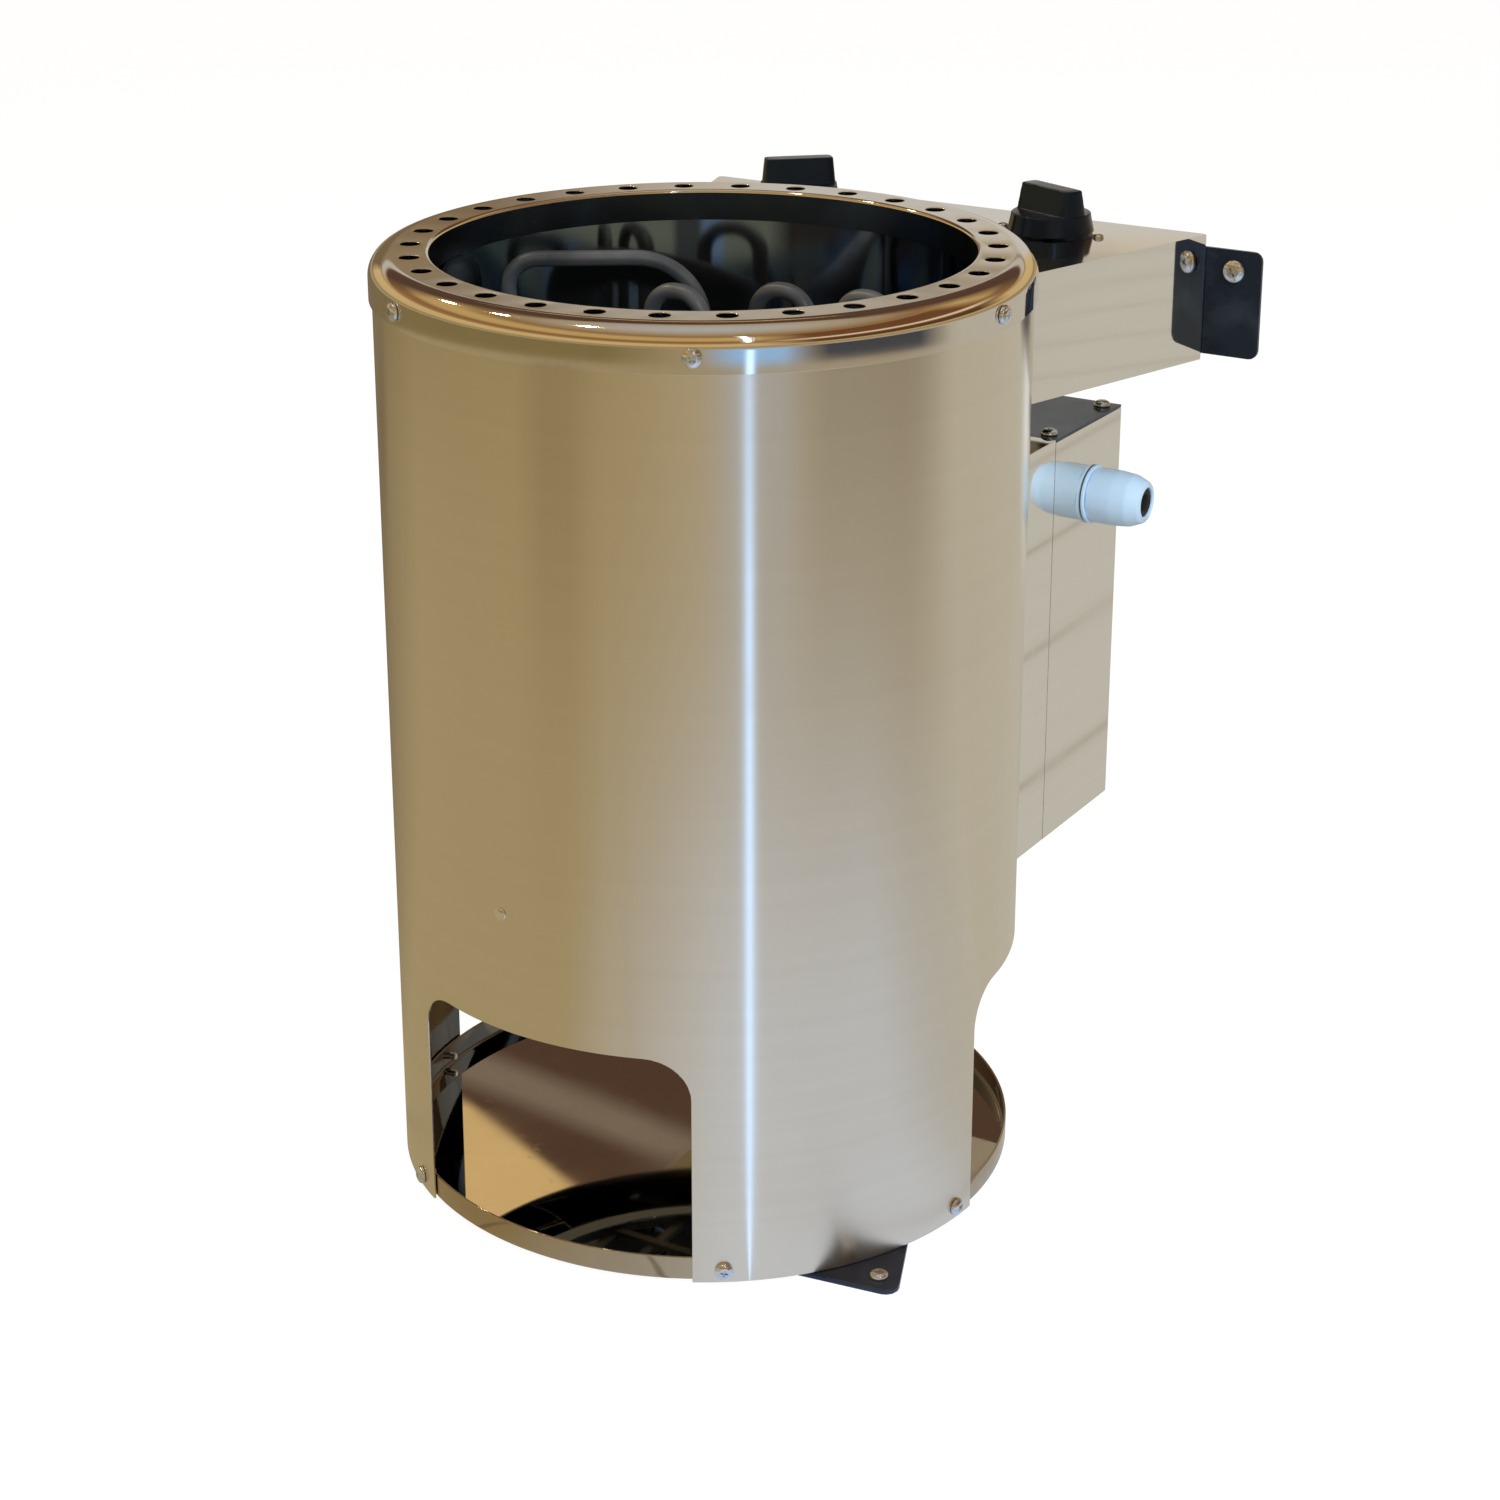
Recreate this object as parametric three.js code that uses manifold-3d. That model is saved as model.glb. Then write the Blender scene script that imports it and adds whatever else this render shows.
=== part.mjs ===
// Electric sauna heater: a round polished jacket with a perforated rim, an open stone chamber with
// tubular heating elements, a wall control box with two knobs, and a connection box with a cable gland.
// Millimetres, +Z up, +X to the right and -Y to the front. Azimuths are degrees from the front to the right.
import * as THREE from 'three';
import { mergeVertices } from 'three/addons/utils/BufferGeometryUtils.js';
import Module from 'manifold-3d';

const wasm = await Module();
wasm.setup();

// Sheet, clearances and facets
const SHEET = 1.2;
const GAP = 0.3;
const SLIDE_FIT = 0.4;
const ROUND_STEPS = 60;
const SMALL_STEPS = 20;
const HOLE_STEPS = 8;
const ARC_STEPS = 4;
const BEND_STEP = 30;
const FAR = 1000;
const SIDES = [1, -1];

// Jacket
const JACKET_RADIUS = 160;
const BODY_HEIGHT = 477;
const VENT_HEIGHT = 120;
const VENT_CORNER = 21;
const FRONT_VENT_HALF_ANGLE = 29;
const REAR_VENT_START_ANGLE = 88;
const WINDOW_HALF_HEIGHT = 12;

// Rim
const RIM_WIDTH = 28;
const RIM_EDGE_RADIUS = 8;
const RIM_DEPTH = 22;
const COLLAR_DEPTH = 16;
const VENT_HOLES = 30;
const VENT_HOLE_RADIUS = 5;
const VENT_CIRCLE_INSET = 18;
const RIM_SCREWS = 6;
const RIM_SCREW_DROP = 14;
const FIRST_RIM_SCREW_ANGLE = 30;

// Stone chamber, its grate and its straps
const CHAMBER_LIFT = 130;
const CHAMBER_LIP = 10;
const GRATE_BAR_WIDTH = 5;
const GRATE_BAR_HEIGHT = 4;
const GRATE_HOOP_HEIGHT = 8;
const GRATE_INSET = 1;
const GRATE_PITCH = 26;
const GRATE_CROSS_BARS = [-66, 66];
const STRAP_ANGLES = [60, -60, 115, -115];
const STRAP_FOOT = 16;
const STRAP_HEIGHT = 18;
const STRAP_LIFT = 10;

// Tray and feet
const TRAY_RIM = 13;
const LEG_SCREW_LIFT = 6.5;
const LEG_SCREW_ANGLES = [34.5, 83, -34.5, -83];
const FOOT_ANGLES = { foot_right: 60, foot_left: -106, foot_rear: 180 };
const FOOT_THICKNESS = 3;
const FOOT_PROJECTION = 29;
const FOOT_ROOT_INSET = 32;
const FOOT_SHOULDER_INSET = 8;
const FOOT_HALF_WIDTH = 32;
const FOOT_TIP_RADIUS = 7;
const FOOT_SCREW_INSET = 13;

// Pan-head screw
const SCREW_HEAD_RADIUS = 4.6;
const SCREW_HEAD_HEIGHT = 3;
const SCREW_CROWN_INSET = 1.4;
const SCREW_CROWN_HEIGHT = 1.5;
const SCREW_SHANK_RADIUS = 2;
const SCREW_LENGTH = 7;

// Heating elements
const ELEMENT_RADIUS = 4.1;
const ELEMENT_SIDES = 8;
const ELEMENT_DROP = 23;
const ELEMENT_LIFT = 24;
const ELEMENT_TAIL = 22;
const ARCH_FOOT_SPACE = 41.6;
const ARCH_FOOT_DEPTH = 24;
const ARCH_TOP_SPACE = 9.6;
const ARCH_TOP_DEPTH = 8;
const ARCH_RIGHT_LEG = [-39, 63];
const ARCH_LEFT_BEND = 15;
const ARCH_RIGHT_BEND = 35;
const TWIN_FRONT = [-11, -7];
const TWIN_REAR = [32, 21];
const TWIN_HALF_WIDTH = 15;
const TWIN_BEND = 14;
const SINGLE_PLACE = [74, 29];
const SINGLE_HALF_WIDTH = 13;
const SINGLE_BEND = 12;
const TAIL_BEND = 20;
const BRIDGE_LIFT = 22;

// Control box
const CONTROL_DROP = 27;
const CONTROL_HEIGHT = 68;
const CONTROL_ROOT_HALF_WIDTH = 109;
const CONTROL_BACK_HALF_WIDTH = 152;
const CONTROL_BACK_SPACE = 102.5;
const CONTROL_FRONT_SPACE = 8;
const FLOOR_RECESS = 4;

// Knobs, shafts and the units below them
const KNOB_SPREAD = 77.5;
const KNOB_SPACE = 65;
const KNOB_RADIUS = 23;
const KNOB_TAPER = 1.8;
const KNOB_SKIRT = 10;
const KNOB_EDGE = 0.8;
const KNOB_HEIGHT = 23.5;
const KNOB_LIFT = 1;
const GRIP_TAPER = 1.2;
const GRIP_BASE_THICKNESS = 16;
const GRIP_TOP_THICKNESS = 11;
const TIMER_REST_TURN = 42;
const THERMOSTAT_REST_TURN = -22;
const SHAFT_RADIUS = 3;
const SHAFT_FLAT = 1.5;
const SHAFT_IN_KNOB = 16;
const SHAFT_IN_UNIT = 12;
const TIMER_SIZE = [54, 50, 36];
const THERMOSTAT_SIZE = [44, 38, 30];

// Wall brackets
const BRACKET_SHEET = 2.5;
const BRACKET_HEIGHT = 58;
const BRACKET_DROP = 7;
const WALL_LEAF_TUCK = 45;
const WALL_LEAF_WIDTH = 31;
const WALL_LEAF_CORNER = 5;
const BRACKET_SCREW_DROP = 20;
const BRACKET_SCREW_PLACE = 24;
const WALL_SCREW_DROP = 11;
const WALL_SCREW_EDGE = 15;
const WALL_SCREW_HEAD_RADIUS = 6.3;

// Connection box
const JUNCTION_LIFT = 124;
const BOX_SPACE = 30;
const JUNCTION_HALF_WIDTH = 109;
const JUNCTION_SEAM_SPACE = 14;
const JUNCTION_BACK_SPACE = 96;
const LID_TAB = 15;
const LID_TAB_THICKNESS = 3;
const LID_SCREW_INSET = 8;
const TERMINALS = 6;
const TERMINAL_PITCH = 15;
const TERMINAL_CHANNEL = 3;
const TERMINAL_DEPTH = 24;
const TERMINAL_HEIGHT = 22;
const TERMINAL_LIFT = 100;
const CUTOUT_RADIUS = 12;
const CUTOUT_DEPTH = 16;
const CUTOUT_LIFT = 65;
const CUTOUT_TAB = [3, 6, 8];
const CUTOUT_TAB_PLACE = 6;
const SLEEVE_RADIUS = 12;
const SLEEVE_COLLAR = 4;
const SLEEVE_REACH = 8;

// Cable gland
const GLAND_SPACE = 62;
const GLAND_DROP = 42;
const GLAND_THREAD_RADIUS = 12;
const GLAND_FLANGE_RADIUS = 16;
const GLAND_FLANGE = 2;
const GLAND_STUB = 11;
const GLAND_NECK_RADIUS = 10;
const GLAND_NECK = 14;
const GLAND_BORE_RADIUS = 7.5;
const GLAND_NUT_RADIUS = 15.2;
const GLAND_NUT_LENGTH = 30;
const GLAND_NUT_FLATS = 6;
const GLAND_GRIP = 12.5;
const GLAND_WAIST = [14.3, 20];
const GLAND_CROWN_RADIUS = 11.8;
const GLAND_FLAT_WIDTH = 13;
const GLAND_MOUTH_RADIUS = 8;
const SEAL_BORE_RADIUS = 4.5;
const SEAL_LENGTH = 9;
const LOCKNUT_RADIUS = 17;
const LOCKNUT_THICKNESS = 5;
const LOCKNUT_SIDES = 6;

// Heights and radii that follow
const SEAT_Z = FOOT_THICKNESS + GAP;
const RIM_TOP = SEAT_Z + BODY_HEIGHT;
const JACKET_INSIDE = JACKET_RADIUS - SHEET;
const SKIRT_RADIUS = JACKET_RADIUS + SLIDE_FIT + SHEET;
const JACKET_TOP = RIM_TOP - RIM_EDGE_RADIUS;
const OPENING_RADIUS = JACKET_RADIUS - RIM_WIDTH;
const VENT_CIRCLE_RADIUS = JACKET_RADIUS - VENT_CIRCLE_INSET;
const FOOT_REACH = JACKET_RADIUS + FOOT_PROJECTION;
const FOOT_ROOT_RADIUS = JACKET_RADIUS - FOOT_ROOT_INSET;
const FOOT_SHOULDER_RADIUS = JACKET_RADIUS - FOOT_SHOULDER_INSET;
const FOOT_SCREW_RADIUS = FOOT_REACH - FOOT_SCREW_INSET;
const CHAMBER_INSIDE = OPENING_RADIUS + SHEET + SLIDE_FIT;
const CHAMBER_RADIUS = CHAMBER_INSIDE + SHEET;
const CHAMBER_BOTTOM = SEAT_Z + CHAMBER_LIFT;
const ELEMENT_Z = CHAMBER_BOTTOM + ELEMENT_LIFT;
const ELEMENT_TOP = RIM_TOP - ELEMENT_DROP;
const ARCH_LEFT_FOOT = [ARCH_FOOT_SPACE - CHAMBER_INSIDE, ARCH_FOOT_DEPTH];
const ARCH_LEFT_TOP = [ARCH_TOP_SPACE - CHAMBER_INSIDE, ARCH_TOP_DEPTH];
const CONTROL_TOP = RIM_TOP - CONTROL_DROP;
const CONTROL_BOTTOM = CONTROL_TOP - CONTROL_HEIGHT;
const CONTROL_BACK = JACKET_RADIUS + CONTROL_BACK_SPACE;
const CONTROL_FRONT_WALL = JACKET_RADIUS + CONTROL_FRONT_SPACE;
const KNOB_PLACE = JACKET_RADIUS + KNOB_SPACE;
const JUNCTION_TOP = CONTROL_BOTTOM - BOX_SPACE;
const JUNCTION_BOTTOM = SEAT_Z + JUNCTION_LIFT;
const JUNCTION_SEAM = JACKET_RADIUS + JUNCTION_SEAM_SPACE;
const JUNCTION_BACK = JACKET_RADIUS + JUNCTION_BACK_SPACE;
const COVER_FRONT = JUNCTION_SEAM + GAP;
const SLEEVE_PLACE = KNOB_PLACE;
const WALL_PLANE = CONTROL_BACK + BRACKET_SHEET;
const BRACKET_TOP = CONTROL_TOP - BRACKET_DROP;
const BRACKET_BOTTOM = BRACKET_TOP - BRACKET_HEIGHT;
const WALL_LEAF_EDGE = CONTROL_BACK_HALF_WIDTH + WALL_LEAF_WIDTH;
const GLAND_PLACE = JACKET_RADIUS + GLAND_SPACE;
const GLAND_Z = JUNCTION_TOP - GLAND_DROP;
const SCREW_HOLE_RADIUS = SCREW_SHANK_RADIUS + GAP;
const SHAFT_HOLE_RADIUS = SHAFT_RADIUS + GAP;

// Plan of the control box: its sides meet the jacket and flare towards the wall
const ROOT_PLACE = Math.sqrt(JACKET_RADIUS ** 2 - CONTROL_ROOT_HALF_WIDTH ** 2);
const FLARE = Math.atan2(CONTROL_BACK_HALF_WIDTH - CONTROL_ROOT_HALF_WIDTH, CONTROL_BACK - ROOT_PLACE);

// Colours and finishes
const FINISHES = {
  polished_steel: { color: 0xc9bda4, roughness: 0.18, metalness: 1 },
  chamber_steel: { color: 0x6c7380, roughness: 0.28, metalness: 1 },
  dark_steel: { color: 0x22262f, roughness: 0.3, metalness: 0.7 },
  element_steel: { color: 0x4a4a4c, roughness: 0.5, metalness: 0.8 },
  zinc: { color: 0xd5d3cc, roughness: 0.25, metalness: 1 },
  black_plastic: { color: 0x17181b, roughness: 0.45, metalness: 0 },
  grey_plastic: { color: 0xbfd0de, roughness: 0.5, metalness: 0 },
  rubber: { color: 0x1b1b1c, roughness: 0.8, metalness: 0 },
  ceramic: { color: 0xe6e0d2, roughness: 0.6, metalness: 0 },
};

function radians(degrees) {
  return THREE.MathUtils.degToRad(degrees);
}

// Closed mesh of a geometry, with shared points merged and flat triangles at the poles left out
function solid(geometry) {
  const bare = geometry.clone();
  bare.deleteAttribute('normal');
  bare.deleteAttribute('uv');
  const merged = mergeVertices(bare, 1e-4);
  const index = merged.index.array;
  const triangles = [];
  for (let i = 0; i < index.length; i += 3) {
    const [a, b, c] = [index[i], index[i + 1], index[i + 2]];
    if (a !== b && b !== c && c !== a) {
      triangles.push(a, b, c);
    }
  }
  return new wasm.Manifold(new wasm.Mesh({
    numProp: 3,
    vertProperties: new Float32Array(merged.attributes.position.array),
    triVerts: new Uint32Array(triangles),
  }));
}

function geometryOf(body) {
  const mesh = body.getMesh();
  const geometry = new THREE.BufferGeometry();
  geometry.setAttribute('position', new THREE.BufferAttribute(mesh.vertProperties, 3));
  geometry.setIndex(new THREE.BufferAttribute(mesh.triVerts, 1));
  return geometry;
}

// Turned solid about Z from a profile of [radius, z] points, with its outside running upwards
function revolve(profile, steps = ROUND_STEPS) {
  const points = profile.map(([radius, z]) => new THREE.Vector2(radius, z));
  return solid(new THREE.LatheGeometry(points, steps).rotateX(Math.PI / 2));
}

function ring(inside, outside, bottom, top, steps = ROUND_STEPS) {
  return revolve([[inside, bottom], [outside, bottom], [outside, top], [inside, top], [inside, bottom]], steps);
}

function disc(radius, bottom, top, steps = SMALL_STEPS) {
  return revolve([[0, bottom], [radius, bottom], [radius, top], [0, top]], steps);
}

// Points of a quarter circle or other arc in a profile
function arc(centre, radius, from, to, steps = ARC_STEPS) {
  const points = [];
  for (let i = 0; i <= steps; i += 1) {
    const angle = radians(from + ((to - from) * i) / steps);
    points.push([centre[0] + radius * Math.cos(angle), centre[1] + radius * Math.sin(angle)]);
  }
  return points;
}

function outline(points) {
  return new THREE.Shape(points.map(([x, y]) => new THREE.Vector2(x, y)));
}

// Prism of a plan outline between two heights
function upright(points, bottom, top) {
  const geometry = new THREE.ExtrudeGeometry(outline(points), { depth: top - bottom, bevelEnabled: false });
  return solid(geometry.translate(0, 0, bottom));
}

// Prism of an outline of [x, z] points between two places along Y
function alongY(points, front, back) {
  const geometry = new THREE.ExtrudeGeometry(outline(points), { depth: back - front, bevelEnabled: false });
  return solid(geometry.rotateX(Math.PI / 2).translate(0, back, 0));
}

// Prism of an outline of [y, z] points between two places along X
function alongX(points, left, right) {
  const geometry = new THREE.ExtrudeGeometry(outline(points), { depth: right - left, bevelEnabled: false });
  return solid(geometry.rotateX(Math.PI / 2).rotateZ(Math.PI / 2).translate(left, 0, 0));
}

function block([x0, y0, z0], [x1, y1, z1]) {
  return upright([[x0, y0], [x1, y0], [x1, y1], [x0, y1]], z0, z1);
}

// Round cutter that points out of the axis at an azimuth, between two radii
function radialPin(azimuth, z, radius, inside, outside) {
  const pin = new THREE.CylinderGeometry(radius, radius, outside - inside, HOLE_STEPS);
  pin.translate(0, -(inside + outside) / 2, z);
  pin.rotateZ(radians(azimuth));
  return solid(pin);
}

// Round cutter along Y
function pinAlongY(x, z, radius, front, back) {
  const pin = new THREE.CylinderGeometry(radius, radius, back - front, HOLE_STEPS);
  return solid(pin.translate(x, (front + back) / 2, z));
}

function pinAlongX(y, z, radius, left, right, steps = SMALL_STEPS) {
  const pin = new THREE.CylinderGeometry(radius, radius, right - left, steps).rotateZ(Math.PI / 2);
  return solid(pin.translate((left + right) / 2, y, z));
}

function pinUpright(x, y, radius, bottom, top, steps = HOLE_STEPS) {
  const pin = new THREE.CylinderGeometry(radius, radius, top - bottom, steps).rotateX(Math.PI / 2);
  return solid(pin.translate(x, y, (bottom + top) / 2));
}

function cut(body, cutters) {
  return cutters.reduce((rest, cutter) => rest.subtract(cutter), body);
}

function join(bodies) {
  return bodies.reduce((whole, body) => whole.add(body));
}

// Space that the jacket and a clearance take, for what is fitted against it from behind
function jacketSpace() {
  return disc(JACKET_RADIUS + GAP, 0, RIM_TOP, ROUND_STEPS);
}

// Path of a bent tube: straight runs between corners, each corner rounded to its bend radius.
// Its stations lie on the bends alone, so straight runs take no extra facets.
class BentTube extends THREE.Curve {
  constructor(corners) {
    super();
    this.stations = [];
    const points = corners.map(({ at }) => new THREE.Vector3(...at));
    const last = points.length - 1;
    this.addStation(points[0], points[1].clone().sub(points[0]));
    for (let i = 1; i < last; i += 1) {
      this.addBend(points[i - 1], points[i], points[i + 1], corners[i].bend);
    }
    this.addStation(points[last], points[last].clone().sub(points[last - 1]));
  }

  addStation(point, direction) {
    this.stations.push({ point: point.clone(), direction: direction.clone().normalize() });
  }

  addBend(before, corner, after, bend) {
    const arriving = corner.clone().sub(before).normalize();
    const leaving = after.clone().sub(corner).normalize();
    const turn = arriving.angleTo(leaving);
    const setback = bend * Math.tan(turn / 2);
    const start = corner.clone().addScaledVector(arriving, -setback);
    const inward = leaving.clone().addScaledVector(arriving, -leaving.dot(arriving)).normalize();
    const steps = Math.max(1, Math.round(turn / radians(BEND_STEP)));
    for (let i = 0; i <= steps; i += 1) {
      const angle = (turn * i) / steps;
      const point = start.clone().addScaledVector(arriving, bend * Math.sin(angle));
      point.addScaledVector(inward, bend * (1 - Math.cos(angle)));
      const direction = arriving.clone().multiplyScalar(Math.cos(angle));
      direction.addScaledVector(inward, Math.sin(angle));
      this.addStation(point, direction);
    }
  }

  stationAt(t) {
    return this.stations[Math.round(t * (this.stations.length - 1))];
  }

  getPoint(t, target = new THREE.Vector3()) {
    return target.copy(this.stationAt(t).point);
  }

  getPointAt(t, target = new THREE.Vector3()) {
    return this.getPoint(t, target);
  }

  getTangentAt(t, target = new THREE.Vector3()) {
    return target.copy(this.stationAt(t).direction);
  }
}

function bentTube(corners, radius, sides) {
  const path = new BentTube(corners);
  const section = outline(arc([0, 0], radius, 0, 360 - 360 / sides, sides - 1));
  const geometry = new THREE.ExtrudeGeometry(section, {
    steps: path.stations.length - 1,
    bevelEnabled: false,
    extrudePath: path,
  });
  return solid(geometry);
}

// Jacket: a rolled sheet with a vent at the front, a wide vent at the rear and a window for the elements
function jacketBody() {
  const halfVent = JACKET_RADIUS * Math.sin(radians(FRONT_VENT_HALF_ANGLE));
  const ventTop = SEAT_Z + VENT_HEIGHT;
  const ventArcZ = ventTop - VENT_CORNER;
  const frontVent = alongY([
    [-halfVent, 0],
    [halfVent, 0],
    ...arc([halfVent - VENT_CORNER, ventArcZ], VENT_CORNER, 0, 90),
    ...arc([VENT_CORNER - halfVent, ventArcZ], VENT_CORNER, 90, 180),
  ], -FAR, 0);
  const rearStart = -JACKET_RADIUS * Math.cos(radians(REAR_VENT_START_ANGLE));
  const rearVent = alongX([
    [rearStart, 0],
    [FAR, 0],
    [FAR, ventTop],
    ...arc([rearStart + VENT_CORNER, ventArcZ], VENT_CORNER, 90, 180),
  ], -FAR, FAR);
  const windowHalf = JUNCTION_HALF_WIDTH - ELEMENT_RADIUS;
  const window = block(
    [-windowHalf, 0, ELEMENT_Z - WINDOW_HALF_HEIGHT],
    [windowHalf, FAR, ELEMENT_Z + WINDOW_HALF_HEIGHT],
  );
  return cut(ring(JACKET_INSIDE, JACKET_RADIUS, SEAT_Z, JACKET_TOP), [
    frontVent,
    rearVent,
    window,
    ...rimScrewHoles(),
    ...legScrewHoles(),
  ]);
}

function rimScrewAngles() {
  const step = 360 / RIM_SCREWS;
  return Array.from({ length: RIM_SCREWS }, (_, i) => FIRST_RIM_SCREW_ANGLE + i * step);
}

function rimScrewHoles() {
  const z = RIM_TOP - RIM_SCREW_DROP;
  return rimScrewAngles().map((azimuth) => (
    radialPin(azimuth, z, SCREW_HOLE_RADIUS, CHAMBER_RADIUS + SHEET, FAR)
  ));
}

function legScrewHoles() {
  const z = SEAT_Z + LEG_SCREW_LIFT;
  return LEG_SCREW_ANGLES.map((azimuth) => (
    radialPin(azimuth, z, SCREW_HOLE_RADIUS, CHAMBER_RADIUS, FAR)
  ));
}

// Rim: a flat perforated ring with a rounded outer edge, a skirt outside the jacket and a collar inside
function rimBody() {
  const edge = [SKIRT_RADIUS - RIM_EDGE_RADIUS, RIM_TOP - RIM_EDGE_RADIUS];
  const skirtBottom = RIM_TOP - RIM_DEPTH;
  const collarBottom = RIM_TOP - COLLAR_DEPTH;
  const collarOutside = OPENING_RADIUS + SHEET;
  const body = revolve([
    [SKIRT_RADIUS - SHEET, skirtBottom],
    [SKIRT_RADIUS, skirtBottom],
    ...arc(edge, RIM_EDGE_RADIUS, 0, 90),
    [OPENING_RADIUS, RIM_TOP],
    [OPENING_RADIUS, collarBottom],
    [collarOutside, collarBottom],
    [collarOutside, RIM_TOP - SHEET],
    ...arc(edge, RIM_EDGE_RADIUS - SHEET, 90, 0),
    [SKIRT_RADIUS - SHEET, skirtBottom],
  ]);
  const holes = Array.from({ length: VENT_HOLES }, (_, i) => {
    const azimuth = (i * 2 * Math.PI) / VENT_HOLES;
    const x = VENT_CIRCLE_RADIUS * Math.sin(azimuth);
    const y = -VENT_CIRCLE_RADIUS * Math.cos(azimuth);
    return pinUpright(x, y, VENT_HOLE_RADIUS, RIM_TOP - 2 * SHEET, FAR);
  });
  return cut(body, [...holes, ...rimScrewHoles()]);
}

// Stone chamber: a cylinder round the collar, with a lip below for the grate and holes for the elements
function chamberBody() {
  const lip = CHAMBER_INSIDE - CHAMBER_LIP;
  const top = RIM_TOP - SHEET - GAP;
  const body = revolve([
    [lip, CHAMBER_BOTTOM],
    [CHAMBER_RADIUS, CHAMBER_BOTTOM],
    [CHAMBER_RADIUS, top],
    [CHAMBER_INSIDE, top],
    [CHAMBER_INSIDE, CHAMBER_BOTTOM + SHEET],
    [lip, CHAMBER_BOTTOM + SHEET],
    [lip, CHAMBER_BOTTOM],
  ]);
  return cut(body, elementHoles(0, FAR));
}

function elementTailPlaces() {
  return elementRoutes().flatMap(([, legs]) => [legs[0].foot[0], legs[legs.length - 1].foot[0]]);
}

function elementHoles(front, back) {
  return elementTailPlaces().map((x) => pinAlongY(x, ELEMENT_Z, ELEMENT_RADIUS + GAP, front, back));
}

// Grate: parallel bars on two cross bars in a round hoop, laid on the chamber's lip
function grateBody() {
  const bottom = CHAMBER_BOTTOM + SHEET + GAP;
  const top = bottom + GRATE_HOOP_HEIGHT;
  const barTop = top - GRATE_INSET;
  const barBottom = barTop - GRATE_BAR_HEIGHT;
  const outside = CHAMBER_INSIDE - SLIDE_FIT;
  const inside = outside - GRATE_BAR_WIDTH;
  const side = GRATE_BAR_WIDTH / 2;
  const reach = (place) => Math.sqrt((inside + side) ** 2 - place ** 2);
  const count = Math.floor(inside / GRATE_PITCH);
  const bars = Array.from({ length: 2 * count + 1 }, (_, i) => {
    const x = (i - count) * GRATE_PITCH;
    return block([x - side, -reach(x), barBottom], [x + side, reach(x), barTop]);
  });
  const crossBars = GRATE_CROSS_BARS.map((y) => (
    block([-reach(y), y - side, bottom + GRATE_INSET], [reach(y), y + side, barBottom + GRATE_INSET])
  ));
  return join([ring(inside, outside, bottom, top), ...bars, ...crossBars]);
}

// Strap between the chamber and the jacket: a bent strip with a foot on each
function strapBody() {
  const inner = CHAMBER_RADIUS + GAP;
  const outer = Math.sqrt(JACKET_INSIDE ** 2 - STRAP_FOOT ** 2) - GAP;
  const bottom = CHAMBER_BOTTOM + STRAP_LIFT;
  return upright([
    [-STRAP_FOOT, -inner - SHEET],
    [-SHEET, -inner - SHEET],
    [-SHEET, -outer],
    [STRAP_FOOT, -outer],
    [STRAP_FOOT, SHEET - outer],
    [0, SHEET - outer],
    [0, -inner],
    [-STRAP_FOOT, -inner],
  ], bottom, bottom + STRAP_HEIGHT);
}

// Tray: a polished dish that the jacket's legs are screwed to
function trayBody() {
  const outside = JACKET_INSIDE - SLIDE_FIT;
  const body = revolve([
    [0, SEAT_Z],
    [outside, SEAT_Z],
    [outside, SEAT_Z + TRAY_RIM],
    [outside - SHEET, SEAT_Z + TRAY_RIM],
    [outside - SHEET, SEAT_Z + SHEET],
    [0, SEAT_Z + SHEET],
  ]);
  return cut(body, legScrewHoles());
}

// Foot: a flat tab that tapers to a rounded tip, with a hole for its screw
function footBody() {
  const tip = FOOT_REACH - FOOT_TIP_RADIUS;
  const drop = Math.atan2(FOOT_HALF_WIDTH - FOOT_TIP_RADIUS, tip - FOOT_SHOULDER_RADIUS);
  const lean = THREE.MathUtils.radToDeg(drop);
  const body = upright([
    [-FOOT_HALF_WIDTH, -FOOT_ROOT_RADIUS],
    [-FOOT_HALF_WIDTH, -FOOT_SHOULDER_RADIUS],
    ...arc([0, -tip], FOOT_TIP_RADIUS, 180 + lean, 360 - lean),
    [FOOT_HALF_WIDTH, -FOOT_SHOULDER_RADIUS],
    [FOOT_HALF_WIDTH, -FOOT_ROOT_RADIUS],
  ], 0, FOOT_THICKNESS);
  return cut(body, [pinUpright(0, -FOOT_SCREW_RADIUS, SCREW_HOLE_RADIUS, -FAR, FAR)]);
}

// Pan-head screw with its seat at z = 0 and its shank below
function screwBody(length = SCREW_LENGTH, head = SCREW_HEAD_RADIUS) {
  const crown = GAP + SCREW_HEAD_HEIGHT;
  return revolve([
    [0, -length],
    [SCREW_SHANK_RADIUS, -length],
    [SCREW_SHANK_RADIUS, GAP],
    [head, GAP],
    [head, crown - SCREW_CROWN_HEIGHT],
    [head - SCREW_CROWN_INSET, crown],
    [0, crown],
  ], HOLE_STEPS);
}

// Leg of a heating element: its place at the foot and at the top, and the bend at its top
function leg(foot, bend, top = foot) {
  return { foot, top, bend };
}

// Two legs side by side, joined by a bend at the top
function hairpin([x, y], half, bend) {
  return [leg([x - half, y], bend), leg([x + half, y], bend)];
}

// Legs of the elements: a wide arch at the left, twin hairpins in the middle and one at the right
function elementRoutes() {
  return Object.entries({
    heating_element_left: [
      leg(ARCH_LEFT_FOOT, ARCH_LEFT_BEND, ARCH_LEFT_TOP),
      leg(ARCH_RIGHT_LEG, ARCH_RIGHT_BEND),
    ],
    heating_element_centre: [
      ...hairpin(TWIN_FRONT, TWIN_HALF_WIDTH, TWIN_BEND),
      ...hairpin(TWIN_REAR, TWIN_HALF_WIDTH, TWIN_BEND),
    ],
    heating_element_right: hairpin(SINGLE_PLACE, SINGLE_HALF_WIDTH, SINGLE_BEND),
  });
}

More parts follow.
